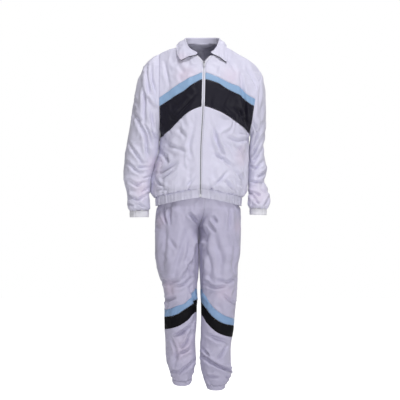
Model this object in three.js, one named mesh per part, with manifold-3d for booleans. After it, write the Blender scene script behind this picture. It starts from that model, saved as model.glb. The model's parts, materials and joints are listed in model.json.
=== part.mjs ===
// Tracksuit in its worn form: zipped jacket and trousers, millimetres, +Z up.
// The origin is at the neck's base on the shoulder line. The front faces -Y, and -X is the wearer's right.

import * as THREE from 'three';
import { mergeVertices } from 'three/addons/utils/BufferGeometryUtils.js';
import Module from 'manifold-3d';

const wasm = await Module();
wasm.setup();

// Driving dimensions
const clothWall = 1.5;
const bandWall = 2;
const seamGap = 0.3;
const armholeGap = 0.6;
const seamMargin = 0.2;
const weltHeight = 1.6;
const zipTopHeight = -54;
const zipTapeWidth = 7;
const zipRunGap = 1.6;
const zipOpenSpread = 28;
const collarStartHeight = -22;
const bandSeamHeight = -620;
const bandBottomHeight = -655;
const frontArch = 34;
const archPower = 1.3;
const archFadeHeight = 200;
const gatherDepth = 2.2;
const gatherReach = 90;
const crownPower = 2.3;
const leastCrown = 20;
const shoulderRound = { nearNeck: 30, nearArm: 112, from: 30, to: 150 };
const sideClearance = 0.02;
const sleevePower = 2.2;
const legPower = 2.25;
const neck = { x: 6, y: 3, half: 72, front: 77, back: 66, sideHeight: 21, frontSlope: 0.506, backSlope: 0.1 };
const crotchHeight = -748;
const seatSplit = { top: -620, thighTop: -600, thighEnd: -880, reach: 0.4 };
const riseTopHeight = -515;
const waistTopHeight = -475;
const legGap = 2.2;
const neckSteps = { front: 4, back: 5 };
const shoulderSteps = { front: 8, back: 7 };
const sleeveRing = 24;
const yokeRows = 7;
const stripeRows = 1;
const panelRows = 4;
const legColumns = 12;

const cloth = { color: 0xd2cfde, roughness: 0.55, metalness: 0 };
const trouserCloth = { color: 0xb9b5c8, roughness: 0.55, metalness: 0 };
const blueCloth = { color: 0x9dc1e0, roughness: 0.55, metalness: 0 };
const darkCloth = { color: 0x2b2836, roughness: 0.5, metalness: 0 };
const bandCloth = { color: 0xdedee4, roughness: 0.6, metalness: 0 };
const hardPlastic = { color: 0xe9e9ee, roughness: 0.35, metalness: 0.1 };

// Jacket body by height: side lines, front and back depth
const bodyRows = [
  { z: 40, left: -176, right: 250, front: 56, back: 50 },
  { z: 0, left: -175, right: 250, front: 70, back: 84 },
  { z: -52, left: -174, right: 251, front: 84, back: 104 },
  { z: -100, left: -174, right: 252, front: 106, back: 118 },
  { z: -150, left: -174, right: 240, front: 122, back: 127 },
  { z: -202, left: -174, right: 228, front: 131, back: 131 },
  { z: -300, left: -173, right: 213, front: 139, back: 129 },
  { z: -355, left: -172, right: 202, front: 141, back: 124 },
  { z: -420, left: -173, right: 197, front: 142, back: 119 },
  { z: -462, left: -182, right: 198, front: 143, back: 119 },
  { z: -504, left: -196, right: 199, front: 146, back: 122 },
  { z: -560, left: -208, right: 194, front: 150, back: 129 },
  { z: -592, left: -210, right: 190, front: 152, back: 133 },
  { z: -610, left: -202, right: 181, front: 143, back: 127 },
  { z: -622, left: -192, right: 172, front: 133, back: 119 },
  { z: -660, left: -189, right: 167, front: 129, back: 116 },
];

// The zip's line, leaning with the figure
const zipRows = [
  { z: -54, x: 12.6 },
  { z: -168, x: 10.5 },
  { z: -244, x: 8.4 },
  { z: -424, x: -0.8 },
  { z: -660, x: -3 },
];

// Each armhole: its top, its pit, and how far it opens in front and behind
const armholes = {
  left: { tip: -17, pit: -375, front: 78, back: 86 },
  right: { tip: -92, pit: -355, front: 84, back: 98 },
};

// Shoulder seam from neck to armhole
const shoulderRows = {
  left: [
    { x: -66, z: 21 },
    { x: -118, z: 7 },
    { x: -160, z: -9 },
    { x: -176, z: -18 },
  ],
  right: [
    { x: 78, z: 21 },
    { x: 118, z: 8 },
    { x: 143, z: -8 },
    { x: 172, z: -25 },
    { x: 202, z: -43 },
    { x: 227, z: -62 },
    { x: 240, z: -77 },
    { x: 252, z: -94 },
  ],
};

// Seams across the chest: top of the blue stripe, its lower edge, and the dark panel's lower edge
const chestRows = [
  { x: -176, blueTop: -203, blueBottom: -238, darkBottom: -375 },
  { x: -122, blueTop: -164, blueBottom: -203, darkBottom: -328 },
  { x: -70, blueTop: -130, blueBottom: -171, darkBottom: -277 },
  { x: -25, blueTop: -108, blueBottom: -139, darkBottom: -249 },
  { x: 10, blueTop: -96, blueBottom: -124, darkBottom: -239 },
  { x: 66, blueTop: -114, blueBottom: -139, darkBottom: -256 },
  { x: 117, blueTop: -139, blueBottom: -169, darkBottom: -283 },
  { x: 170, blueTop: -162, blueBottom: -196, darkBottom: -320 },
  { x: 190, blueTop: -187, blueBottom: -217, darkBottom: -338 },
  { x: 204, blueTop: -195, blueBottom: -226, darkBottom: -355 },
  { x: 228, blueTop: -208, blueBottom: -239, darkBottom: -360 },
];

// Largest folds: a soft trough (or ridge, where depth is negative) along a line seen from the front
const jacketFolds = [
  { x0: 168, z0: -120, x1: 176, z1: -215, depth: 7, width: 13 },
  { x0: -105, z0: -275, x1: -8, z1: -178, depth: 4, width: 16 },
  { x0: -172, z0: -516, x1: -105, z1: -482, depth: 7, width: 14 },
  { x0: -160, z0: -540, x1: -100, z1: -500, depth: -5, width: 14 },
  { x0: -63, z0: -573, x1: -20, z1: -525, depth: 5, width: 13 },
  { x0: 52, z0: -330, x1: 96, z1: -438, depth: 5, width: 15 },
  { x0: 65, z0: -438, x1: 124, z1: -488, depth: 6, width: 14 },
  { x0: 24, z0: -555, x1: 68, z1: -596, depth: 5, width: 12 },
  { x0: 106, z0: -545, x1: 134, z1: -586, depth: 6, width: 12 },
];

const backFolds = [
  { x0: -150, z0: -300, x1: -40, z1: -420, depth: 6, width: 18 },
  { x0: 170, z0: -290, x1: 60, z1: -400, depth: 6, width: 18 },
  { x0: -130, z0: -560, x1: -60, z1: -490, depth: 6, width: 14 },
  { x0: 140, z0: -550, x1: 70, z1: -500, depth: 5, width: 14 },
  { x0: -20, z0: -580, x1: 10, z1: -500, depth: 5, width: 13 },
];

// Sleeve rings: the outer and inner points of each, its middle depth and its half depths
const sleeveRows = {
  left: [
    { xo: -206, zo: -34, xi: -175, zi: -380, y: 2, front: 84, back: 90 },
    { xo: -238, zo: -64, xi: -178, zi: -386, y: 0, front: 88, back: 90 },
    { xo: -261, zo: -116, xi: -180, zi: -395, y: -2, front: 88, back: 88 },
    { xo: -276, zo: -188, xi: -182, zi: -407, y: -4, front: 84, back: 84 },
    { xo: -289, zo: -268, xi: -184, zi: -424, y: -5, front: 78, back: 78 },
    { xo: -301, zo: -340, xi: -188, zi: -446, y: -5, front: 74, back: 74 },
    { xo: -315, zo: -412, xi: -196, zi: -474, y: -5, front: 68, back: 70 },
    { xo: -322, zo: -468, xi: -207, zi: -508, y: -6, front: 63, back: 64 },
    { xo: -327, zo: -520, xi: -215, zi: -540, y: -8, front: 60, back: 60 },
    { xo: -326, zo: -558, xi: -219, zi: -566, y: -10, front: 57, back: 57 },
    { xo: -315, zo: -592, xi: -219, zi: -594, y: -12, front: 51, back: 52 },
    { xo: -308, zo: -622, xi: -216, zi: -620, y: -14, front: 52, back: 52 },
    { xo: -311, zo: -646, xi: -213, zi: -645, y: -15, front: 53, back: 52 },
    { xo: -307, zo: -664, xi: -214, zi: -663, y: -15, front: 51, back: 49 },
    { xo: -298, zo: -674, xi: -220, zi: -673, y: -15, front: 41, back: 41 },
  ],
  right: [
    { xo: 258, zo: -112, xi: 207, zi: -363, y: 11, front: 86, back: 96 },
    { xo: 266, zo: -150, xi: 209, zi: -374, y: 17, front: 84, back: 90 },
    { xo: 270, zo: -212, xi: 208, zi: -390, y: 25, front: 80, back: 84 },
    { xo: 272, zo: -280, xi: 205, zi: -411, y: 37, front: 74, back: 76 },
    { xo: 270, zo: -344, xi: 202, zi: -436, y: 48, front: 66, back: 68 },
    { xo: 267, zo: -402, xi: 199, zi: -464, y: 56, front: 59, back: 61 },
    { xo: 270, zo: -456, xi: 196, zi: -494, y: 60, front: 56, back: 57 },
    { xo: 277, zo: -508, xi: 197, zi: -526, y: 56, front: 54, back: 55 },
    { xo: 267, zo: -548, xi: 200, zi: -553, y: 45, front: 49, back: 50 },
    { xo: 283, zo: -582, xi: 203, zi: -576, y: 33, front: 51, back: 51 },
    { xo: 290, zo: -612, xi: 200, zi: -604, y: 22, front: 51, back: 50 },
    { xo: 288, zo: -640, xi: 197, zi: -634, y: 12, front: 51, back: 49 },
    { xo: 283, zo: -657, xi: 198, zi: -653, y: 6, front: 48, back: 47 },
    { xo: 275, zo: -665, xi: 204, zi: -663, y: 4, front: 39, back: 39 },
  ],
};
const cuffLength = 28;
const cuffRows = {
  left: { xo: -298, zo: -674, xi: -220, zi: -673, y: -15, front: 39, back: 39 },
  right: { xo: 275, zo: -665, xi: 205, zi: -663, y: 4, front: 37, back: 37 },
};

const sleeveFolds = {
  left: [
    { x0: -262, z0: -302, x1: -205, z1: -455, depth: 8, width: 13 },
    { x0: -234, z0: -330, x1: -192, z1: -415, depth: 7, width: 11 },
    { x0: -230, z0: -66, x1: -222, z1: -178, depth: 5, width: 11 },
    { x0: -208, z0: -68, x1: -188, z1: -200, depth: 5, width: 10 },
    { x0: -238, z0: -180, x1: -176, z1: -250, depth: -6, width: 14 },
    { x0: -246, z0: -170, x1: -236, z1: -295, depth: 5, width: 11 },
    { x0: -264, z0: -492, x1: -214, z1: -490, depth: 5, width: 11 },
    { x0: -318, z0: -575, x1: -290, z1: -622, depth: 6, width: 10 },
    { x0: -244, z0: -598, x1: -212, z1: -566, depth: 5, width: 10 },
  ],
  right: [
    { x0: 263, z0: -302, x1: 206, z1: -420, depth: 7, width: 12 },
    { x0: 279, z0: -504, x1: 238, z1: -540, depth: 7, width: 11 },
    { x0: 198, z0: -588, x1: 232, z1: -615, depth: 6, width: 10 },
    { x0: 206, z0: -556, x1: 264, z1: -571, depth: 6, width: 10 },
    { x0: 285, z0: -620, x1: 272, z1: -648, depth: 5, width: 9 },
  ],
};

// Collar stations round the neck from the front end (angle small) to the nape (180): base, fold and leaf edge
const collarRows = [
  { angle: -142, foldX: 45, foldY: -67, foldZ: -13, edgeX: 107, edgeY: -86, edgeZ: -53 },
  { angle: -125, foldX: 61, foldY: -51, foldZ: 6, edgeX: 111, edgeY: -66, edgeZ: -30 },
  { angle: -107, foldX: 71, foldY: -25, foldZ: 28, edgeX: 107, edgeY: -34, edgeZ: 0 },
  { angle: -90, foldX: 76, foldY: 3, foldZ: 46, edgeX: 106, edgeY: 3, edgeZ: 20 },
  { angle: -60, foldX: 66, foldY: 38, foldZ: 50, edgeX: 96, edgeY: 60, edgeZ: 6 },
  { angle: -30, foldX: 41, foldY: 62, foldZ: 51, edgeX: 56, edgeY: 95, edgeZ: -8 },
  { angle: 0, foldX: 6, foldY: 70, foldZ: 51, edgeX: 6, edgeY: 105, edgeZ: -12 },
  { angle: 30, foldX: -30, foldY: 62, foldZ: 51, edgeX: -47, edgeY: 95, edgeZ: -8 },
  { angle: 60, foldX: -54, foldY: 38, foldZ: 50, edgeX: -86, edgeY: 60, edgeZ: 5 },
  { angle: 90, foldX: -64, foldY: 3, foldZ: 46, edgeX: -101, edgeY: 3, edgeZ: 17 },
  { angle: 107, foldX: -60, foldY: -24, foldZ: 30, edgeX: -103, edgeY: -32, edgeZ: 2 },
  { angle: 125, foldX: -49, foldY: -50, foldZ: 8, edgeX: -98, edgeY: -62, edgeZ: -24 },
  { angle: 155, foldX: -19, foldY: -73, foldZ: -14, edgeX: -82, edgeY: -80, edgeZ: -47 },
];
const foldRadius = 3.2;
const leafBulge = 5;
const leafClearance = 5;
const standInset = 1.9;

// Trousers: the seam line between the legs, and each leg's sides and depth by height
const riseRows = [
  { z: -475, x: 8 },
  { z: -600, x: 16 },
  { z: -640, x: 16 },
  { z: -706, x: 5 },
  { z: -748, x: -8 },
  { z: -900, x: -8 },
];

const legRows = {
  left: [
    { z: -475, outer: -150, inner: -8, front: 106, back: 104, y: 0 },
    { z: -515, outer: -152, inner: -8, front: 110, back: 106, y: 0 },
    { z: -600, outer: -176, inner: -8, front: 120, back: 108, y: 0 },
    { z: -655, outer: -181, inner: -8, front: 121, back: 108, y: 0 },
    { z: -668, outer: -187, inner: -8, front: 124, back: 111, y: 0 },
    { z: -745, outer: -193, inner: -9.5, front: 116, back: 116, y: 0 },
    { z: -850, outer: -193, inner: -9.5, front: 104, back: 104, y: 0 },
    { z: -910, outer: -186, inner: -9.5, front: 96, back: 96, y: -2 },
    { z: -950, outer: -175, inner: -11, front: 90, back: 88, y: -4 },
    { z: -985, outer: -161, inner: -16, front: 84, back: 80, y: -4 },
    { z: -1050, outer: -152, inner: -17, front: 78, back: 74, y: -2 },
    { z: -1130, outer: -154, inner: -18, front: 73, back: 74, y: 4 },
    { z: -1218, outer: -150, inner: -24, front: 66, back: 72, y: 10 },
    { z: -1300, outer: -146, inner: -21, front: 58, back: 62, y: 14 },
    { z: -1336, outer: -133, inner: -28, front: 50, back: 52, y: 14 },
    { z: -1366, outer: -123, inner: -36, front: 42, back: 42, y: 13 },
    { z: -1374, outer: -121, inner: -38, front: 40, back: 40, y: 13 },
    { z: -1396, outer: -119, inner: -42, front: 38, back: 38, y: 12 },
  ],
  right: [
    { z: -475, outer: 137, inner: -8, front: 106, back: 104, y: 0 },
    { z: -515, outer: 139, inner: -8, front: 110, back: 106, y: 0 },
    { z: -600, outer: 156, inner: -8, front: 120, back: 108, y: 0 },
    { z: -655, outer: 159, inner: -8, front: 121, back: 108, y: 0 },
    { z: -668, outer: 165, inner: -8, front: 124, back: 111, y: 0 },
    { z: -745, outer: 168, inner: -6.5, front: 116, back: 116, y: 0 },
    { z: -850, outer: 165, inner: -6.5, front: 104, back: 104, y: 0 },
    { z: -910, outer: 155, inner: -6.5, front: 96, back: 96, y: -2 },
    { z: -950, outer: 154, inner: -5, front: 90, back: 88, y: -4 },
    { z: -1016, outer: 151, inner: -2, front: 80, back: 76, y: -3 },
    { z: -1100, outer: 143, inner: 0, front: 75, back: 73, y: 2 },
    { z: -1184, outer: 135, inner: 0, front: 70, back: 74, y: 8 },
    { z: -1250, outer: 125, inner: -3, front: 62, back: 68, y: 12 },
    { z: -1310, outer: 126, inner: -3, front: 57, back: 60, y: 14 },
    { z: -1345, outer: 130, inner: 1, front: 53, back: 54, y: 14 },
    { z: -1372, outer: 124, inner: 9, front: 47, back: 47, y: 13 },
    { z: -1394, outer: 105, inner: 18, front: 40, back: 40, y: 12 },
    { z: -1418, outer: 100, inner: 25, front: 37, back: 37, y: 11 },
  ],
};
const ankleBands = {
  left: { top: -1372, bottom: -1394, drop: 20 },
  right: { top: -1394, bottom: -1416, drop: 16 },
};
const ankleTiltReach = 110;

// Edges of the two bands below each knee, across the front from inseam to side
const legBandRows = {
  left: [
    { x: -14, blueTop: -1000, blueBottom: -1040, darkBottom: -1096 },
    { x: -28, blueTop: -1012, blueBottom: -1055, darkBottom: -1104 },
    { x: -46, blueTop: -1042, blueBottom: -1072, darkBottom: -1126 },
    { x: -72, blueTop: -1064, blueBottom: -1090, darkBottom: -1146 },
    { x: -100, blueTop: -1073, blueBottom: -1108, darkBottom: -1160 },
    { x: -128, blueTop: -1084, blueBottom: -1116, darkBottom: -1168 },
    { x: -156, blueTop: -1092, blueBottom: -1120, darkBottom: -1173 },
  ],
  right: [
    { x: -2, blueTop: -1003, blueBottom: -1052, darkBottom: -1103 },
    { x: 20, blueTop: -1033, blueBottom: -1082, darkBottom: -1137 },
    { x: 40, blueTop: -1065, blueBottom: -1108, darkBottom: -1162 },
    { x: 60, blueTop: -1088, blueBottom: -1126, darkBottom: -1180 },
    { x: 80, blueTop: -1103, blueBottom: -1140, darkBottom: -1191 },
    { x: 102, blueTop: -1115, blueBottom: -1149, darkBottom: -1199 },
    { x: 144, blueTop: -1130, blueBottom: -1157, darkBottom: -1208 },
  ],
};

const legFolds = {
  left: [
    { x0: -165, z0: -662, x1: -143, z1: -720, depth: 6, width: 12 },
    { x0: -134, z0: -664, x1: -126, z1: -712, depth: 5, width: 11 },
    { x0: -48, z0: -690, x1: -16, z1: -722, depth: 7, width: 12 },
    { x0: -24, z0: -790, x1: -84, z1: -945, depth: -7, width: 16 },
    { x0: -160, z0: -1052, x1: -110, z1: -1040, depth: 6, width: 13 },
    { x0: -110, z0: -1198, x1: -42, z1: -1158, depth: 6, width: 13 },
    { x0: -82, z0: -1250, x1: -42, z1: -1194, depth: 5, width: 12 },
    { x0: -100, z0: -1286, x1: -46, z1: -1256, depth: 6, width: 12 },
    { x0: -88, z0: -1350, x1: -36, z1: -1312, depth: 6, width: 11 },
  ],
  right: [
    { x0: 30, z0: -730, x1: 58, z1: -762, depth: 6, width: 12 },
    { x0: 45, z0: -704, x1: 58, z1: -724, depth: 5, width: 10 },
    { x0: 90, z0: -1040, x1: 145, z1: -1062, depth: 5, width: 14 },
    { x0: 4, z0: -1280, x1: 86, z1: -1332, depth: 8, width: 13 },
    { x0: 10, z0: -1255, x1: 32, z1: -1284, depth: 5, width: 11 },
    { x0: 92, z0: -1334, x1: 126, z1: -1352, depth: 6, width: 10 },
  ],
};

const pocketWelts = {
  left: { topAcross: 0.6, bottomAcross: 0.7, top: -438, bottom: -540, width: 0.1, lift: 1.5 },
  right: { topAcross: 0.62, bottomAcross: 0.65, top: -392, bottom: -512, width: 0.1, lift: 0.9 },
};

// Zip slider and pull tab
const hardwareLift = 0.8;
const slider = { width: 8.5, height: 12, thick: 2.6, ear: 1.2, earGap: 5.2, earReach: 3.6, pin: 0.8 };
const pull = { width: 7.5, length: 21, thick: 1.4, eyeOuter: 2, eyeInner: 1.15, eyeWidth: 4.4, hole: 1.5 };

const sides = { left: -1, right: 1 };

function smooth(low, high, value) {
  const t = Math.min(Math.max((value - low) / (high - low), 0), 1);
  return t * t * (3 - 2 * t);
}

function mix(a, b, t) {
  return a + (b - a) * t;
}

// A smooth curve through one column of a table, read at any place along another column
function curve(rows, along, key) {
  const flip = rows[0][along] > rows[rows.length - 1][along] ? -1 : 1;
  const places = rows.map((row) => row[along] * flip);
  const values = rows.map((row) => row[key]);
  const last = rows.length - 1;
  const chord = (i) => (values[i + 1] - values[i]) / (places[i + 1] - places[i]);
  const slopes = values.map((value, i) => {
    if (i === 0 || i === last) {
      return chord(Math.min(i, last - 1));
    }
    const before = chord(i - 1);
    const after = chord(i);
    return before * after > 0 ? (2 * before * after) / (before + after) : 0;
  });
  return (place) => {
    const p = Math.min(Math.max(place * flip, places[0]), places[last]);
    let i = 0;
    while (i < last - 1 && p > places[i + 1]) {
      i += 1;
    }
    const span = places[i + 1] - places[i];
    const t = (p - places[i]) / span;
    const start = (2 * t ** 3 - 3 * t ** 2 + 1) * values[i] + (t ** 3 - 2 * t ** 2 + t) * span * slopes[i];
    const end = (3 * t ** 2 - 2 * t ** 3) * values[i + 1] + (t ** 3 - t ** 2) * span * slopes[i + 1];
    return start + end;
  };
}

// How far a point seen at (x, z) is pressed in by a list of folds
function foldDepth(folds, x, z) {
  let depth = 0;
  for (const fold of folds) {
    const dx = fold.x1 - fold.x0;
    const dz = fold.z1 - fold.z0;
    const t = ((x - fold.x0) * dx + (z - fold.z0) * dz) / (dx * dx + dz * dz);
    const clamped = Math.min(Math.max(t, 0), 1);
    const away = Math.hypot(x - fold.x0 - clamped * dx, z - fold.z0 - clamped * dz);
    depth += fold.depth * Math.exp(-((away / fold.width) ** 2));
  }
  return depth;
}

// Outward normals of a grid of points, taken from its neighbours
function gridNormals(grid, wrap, outward) {
  const rows = grid.length;
  const columns = grid[0].length;
  return grid.map((row, i) =>
    row.map((point, j) => {
      const up = grid[Math.min(i + 1, rows - 1)][j];
      const down = grid[Math.max(i - 1, 0)][j];
      const next = wrap ? row[(j + 1) % columns] : row[Math.min(j + 1, columns - 1)];
      const previous = wrap ? row[(j + columns - 1) % columns] : row[Math.max(j - 1, 0)];
      const across = next.clone().sub(previous);
      const normal = up.clone().sub(down).cross(across).normalize();
      return normal.multiplyScalar(outward);
    }),
  );
}

function signedVolume(points, faces) {
  let volume = 0;
  for (const [a, b, c] of faces) {
    volume += points[a].dot(points[b].clone().cross(points[c]));
  }
  return volume / 6;
}

// A closed wall between an outer and an inner grid of points; wrap joins the last column to the first
function wallGeometry(outer, inner, wrap) {
  const rows = outer.length;
  const columns = outer[0].length;
  const points = [...outer.flat(), ...inner.flat()];
  const innerStart = rows * columns;
  const faces = [];
  const quad = (a, b, c, d) => faces.push([a, b, c], [a, c, d]);
  const cells = wrap ? columns : columns - 1;
  const at = (i, j) => i * columns + (j % columns);
  const inside = (i, j) => innerStart + at(i, j);
  for (let i = 0; i < rows - 1; i += 1) {
    for (let j = 0; j < cells; j += 1) {
      quad(at(i, j), at(i, j + 1), at(i + 1, j + 1), at(i + 1, j));
      quad(inside(i, j), inside(i + 1, j), inside(i + 1, j + 1), inside(i, j + 1));
    }
  }
  for (let j = 0; j < cells; j += 1) {
    quad(at(0, j), inside(0, j), inside(0, j + 1), at(0, j + 1));
    const top = rows - 1;
    quad(at(top, j), at(top, j + 1), inside(top, j + 1), inside(top, j));
  }
  if (!wrap) {
    const side = columns - 1;
    for (let i = 0; i < rows - 1; i += 1) {
      quad(at(i, 0), at(i + 1, 0), inside(i + 1, 0), inside(i, 0));
      quad(at(i, side), inside(i, side), inside(i + 1, side), at(i + 1, side));
    }
  }
  if (signedVolume(points, faces) < 0) {
    faces.forEach((face) => face.reverse());
  }
  const geometry = new THREE.BufferGeometry();
  const positions = points.flatMap((point) => [point.x, point.y, point.z]);
  geometry.setAttribute('position', new THREE.Float32BufferAttribute(positions, 3));
  geometry.setIndex(faces.flat());
  geometry.computeVertexNormals();
  return geometry;
}

function insetGrid(grid, normals, depth) {
  return grid.map((row, i) => row.map((point, j) => point.clone().addScaledVector(normals[i][j], -depth)));
}

function piece(name, geometry, look) {
  const mesh = new THREE.Mesh(geometry, new THREE.MeshStandardMaterial(look));
  mesh.name = name;
  return mesh;
}

// The outward normal of a surface at one place, by small steps; its point is read across and up
function normalOn(surface, across, up, outward) {
  const far = Math.min(across + 0.01, 1);
  const near = Math.max(far - 0.02, surface.start);
  const high = Math.min(up + 3, surface.top(across));
  const sideways = surface.point(far, up).sub(surface.point(near, up));
  const upward = surface.point(across, high).sub(surface.point(across, high - 6));
  const normal = sideways.cross(upward).normalize().multiplyScalar(outward);
  if (surface.facing) {
    const room = surface.facing * (surface.point(across, up).y - neck.y) - seamGap / 2;
    const sunk = surface.facing * normal.y * clothWall;
    normal.y = sunk > room ? (surface.facing * room) / clothWall : normal.y;
  }
  return normal;
}

// A grid over a surface: heights gives each column's rows, relief moves a point out along its normal
function surfaceGrid(surface, columns, heights, outward, relief) {
  const columnHeights = columns.map((across) => heights(across));
  const points = [];
  const normals = [];
  columnHeights[0].forEach((_, i) => {
    const places = columns.map((across, j) => ({ across, up: columnHeights[j][i] }));
    const rowNormals = places.map(({ across, up }) => normalOn(surface, across, up, outward));
    const rowPoints = places.map(({ across, up }, j) => {
      const point = surface.point(across, up);
      return point.addScaledVector(rowNormals[j], relief(point, across, up, j));
    });
    points.push(rowPoints);
    normals.push(rowNormals);
  });
  return { points, normals };
}

function clothPiece(name, { points, normals }, look, { wall = clothWall, wrap = false, lift = 0 } = {}) {
  const outer = insetGrid(points, normals, -lift);
  const inner = insetGrid(points, normals, wall - lift);
  return piece(name, wallGeometry(outer, inner, wrap), look);
}

// Jacket body

const zipX = curve(zipRows, 'z', 'x');
const bodySide = { left: curve(bodyRows, 'z', 'left'), right: curve(bodyRows, 'z', 'right') };
const bodyDepth = { front: curve(bodyRows, 'z', 'front'), back: curve(bodyRows, 'z', 'back') };
const shoulder = { left: curve(shoulderRows.left, 'x', 'z'), right: curve(shoulderRows.right, 'x', 'z') };
const chestSeam = {
  blueTop: curve(chestRows, 'x', 'blueTop'),
  blueBottom: curve(chestRows, 'x', 'blueBottom'),
  darkBottom: curve(chestRows, 'x', 'darkBottom'),
};

function neckEdge(x, face) {
  const across = Math.min(Math.abs(x - neck.x) / neck.half, 1);
  const reach = face === 'front' ? -neck.front : neck.back;
  const y = neck.y + reach * Math.sqrt(1 - across ** 2);
  const slope = face === 'front' ? neck.frontSlope : neck.backSlope;
  return { y, z: neck.sideHeight + slope * (y - neck.y) };
}

// Where the two front edges part above the slider, up to the collar
function frontEdge(side, z) {
  const opened = Math.max(z - zipTopHeight, 0) / (collarStartHeight - zipTopHeight);
  const spread = zipOpenSpread * Math.min(opened, 1) ** 1.2;
  return zipX(z) + sides[side] * spread;
}

function panelEdge(side, z) {
  const slant = 1 + 0.35 * smooth(zipTopHeight - 10, zipTopHeight + 10, z);
  return frontEdge(side, z) + sides[side] * (zipRunGap + zipTapeWidth * slant);
}

function topEdge(x, side, face) {
  if (Math.abs(x - neck.x) < neck.half) {
    return neckEdge(x, face);
  }
  return { y: neck.y, z: shoulder[side](x) };
}

function armholeHalf(side, face, z) {
  const hole = armholes[side];
  const middle = (hole.tip + hole.pit) / 2;
  const t = (z - middle) / ((hole.tip - hole.pit) / 2);
  return hole[face] * Math.sqrt(Math.max(1 - t * t, 0));
}

// A point of the jacket's body; across runs 0 to 1 from the middle to the armhole, z is its height there
function bodyPoint(side, face, x, z) {
  const middle = zipX(z);
  const edge = bodySide[side](z);
  const across = Math.min(Math.abs((x - middle) / (edge - middle)), 1);
  const arch = face === 'front' ? frontArch * (1 - across ** archPower) : 0;
  const level = z - arch * smooth(bandSeamHeight + frontArch + archFadeHeight, bandSeamHeight, z);
  const half = armholeHalf(side, face, z) * across ** 2;
  const openness = half / armholes[side][face];
  const power = 2 - 0.8 * Math.sqrt(openness);
  const crown = (1 - across ** crownPower) ** (1 / power);
  const depth = bodyDepth[face](level);
  const reach = half + Math.max(depth - half, leastCrown) * crown;
  const facing = face === 'front' ? -1 : 1;
  const top = topEdge(x, side, face);
  const outwards = smooth(shoulderRound.from, shoulderRound.to, Math.abs(x - neck.x));
  const radius = mix(shoulderRound.nearNeck, shoulderRound.nearArm, outwards);
  const below = Math.min(Math.max((top.z - z) / radius, 0), 1);
  const closing = Math.sqrt(1 - (1 - below) ** 2);
  const y = top.y + (neck.y + facing * reach - top.y) * closing;
  return new THREE.Vector3(x, y + facing * (seamGap / 2), z);
}

// A column of the front: share runs 0 to 1 from the zip's tape to the side
function frontColumn(side, share, z) {
  const inner = panelEdge(side, Math.min(z, collarStartHeight));
  const outer = bodySide[side](z) - sides[side] * sideClearance;
  return mix(inner, outer, Math.sin((share * Math.PI) / 2));
}

function backColumn(share, z) {
  const side = share < 0 ? 'left' : 'right';
  const outer = bodySide[side](z) - sides[side] * sideClearance;
  return mix(zipX(z), outer, Math.sin((Math.abs(share) * Math.PI) / 2));
}

// The height where a column meets a seam line, found by a few steps
function seamHeight(column, line) {
  let z = -200;
  for (let step = 0; step < 12; step += 1) {
    z = mix(z, line(column(z)), 0.8);
  }
  return z;
}

function hemHeight(base) {
  return (share) => {
    const across = Math.sin((Math.abs(share) * Math.PI) / 2);
    return base + frontArch * (1 - across ** archPower);
  };
}

// Rows between two heights, evenly or crowded where the surface turns: 'top', 'bottom' or 'both'
function rowHeights(low, high, count, crowd = 'none') {
  const ease = {
    none: (t) => t,
    top: (t) => Math.sin((t * Math.PI) / 2),
    bottom: (t) => 1 - Math.cos((t * Math.PI) / 2),
    both: (t) => (1 - Math.cos(t * Math.PI)) / 2,
  };
  return Array.from({ length: count + 1 }, (_, i) => mix(low, high, ease[crowd](i / count)));
}

// Angles round the neck where columns and collar stations meet, from a front edge (over 90) to the nape (0)
function neckAngles(side) {
  const reach = sides[side] * (panelEdge(side, collarStartHeight) - neck.x);
  const start = 180 - (Math.asin(reach / neck.half) * 180) / Math.PI;
  const front = Array.from({ length: neckSteps.front }, (_, k) => mix(start, 90, k / neckSteps.front));
  const back = Array.from({ length: neckSteps.back + 1 }, (_, k) => mix(90, 0, k / neckSteps.back));
  return { front: [...front, 90], back };
}

function neckPlace(side, angle) {
  return neck.x + sides[side] * neck.half * Math.sin((angle * Math.PI) / 180);
}

function columnShares(side, face) {
  const angles = neckAngles(side)[face];
  const inner = face === 'front' ? panelEdge(side, collarStartHeight) : zipX(neck.sideHeight);
  const onNeck = angles.map((angle) => {
    const x = neckPlace(side, angle);
    const outer = bodySide[side](topEdge(x, side, face).z);
    const across = Math.min(Math.max((x - inner) / (outer - inner), 0), 1);
    return (Math.asin(across) * 2) / Math.PI;
  });
  if (face === 'back') {
    onNeck.reverse();
    onNeck[0] = 0;
  }
  const last = onNeck[onNeck.length - 1];
  const steps = shoulderSteps[face];
  return [...onNeck, ...Array.from({ length: steps }, (_, k) => mix(last, 1, (k + 1) / steps))];
}

// In and out by turns along a gathered edge, fading above it; columns set close together take less
function gatherAt(shares, j, z, edgeHeight) {
  const last = shares.length - 1;
  if (j === 0 || j === last) {
    return 0;
  }
  const evenGap = (shares[last] - shares[0]) / last;
  const closest = Math.min(shares[j] - shares[j - 1], shares[j + 1] - shares[j]);
  const fade = Math.exp(-Math.max(z - edgeHeight, 0) / (gatherReach / 2));
  return (j % 2 ? -gatherDepth : gatherDepth) * fade * Math.min(closest / evenGap, 1);
}

function frontSurface(side) {
  const column = (share) => (z) => frontColumn(side, share, z);
  return {
    start: -1,
    facing: -1,
    point: (share, z) => bodyPoint(side, 'front', column(share)(z), z),
    top: (share) => seamHeight(column(share), (x) => topEdge(x, side, 'front').z),
  };
}

const backSurface = {
  start: -1,
  facing: 1,
  point: (share, z) => bodyPoint(share < 0 ? 'left' : 'right', 'back', backColumn(share, z), z),
  top: (share) => {
    const side = share < 0 ? 'left' : 'right';
    return seamHeight((z) => backColumn(share, z), (x) => topEdge(x, side, 'back').z);
  },
};

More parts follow.
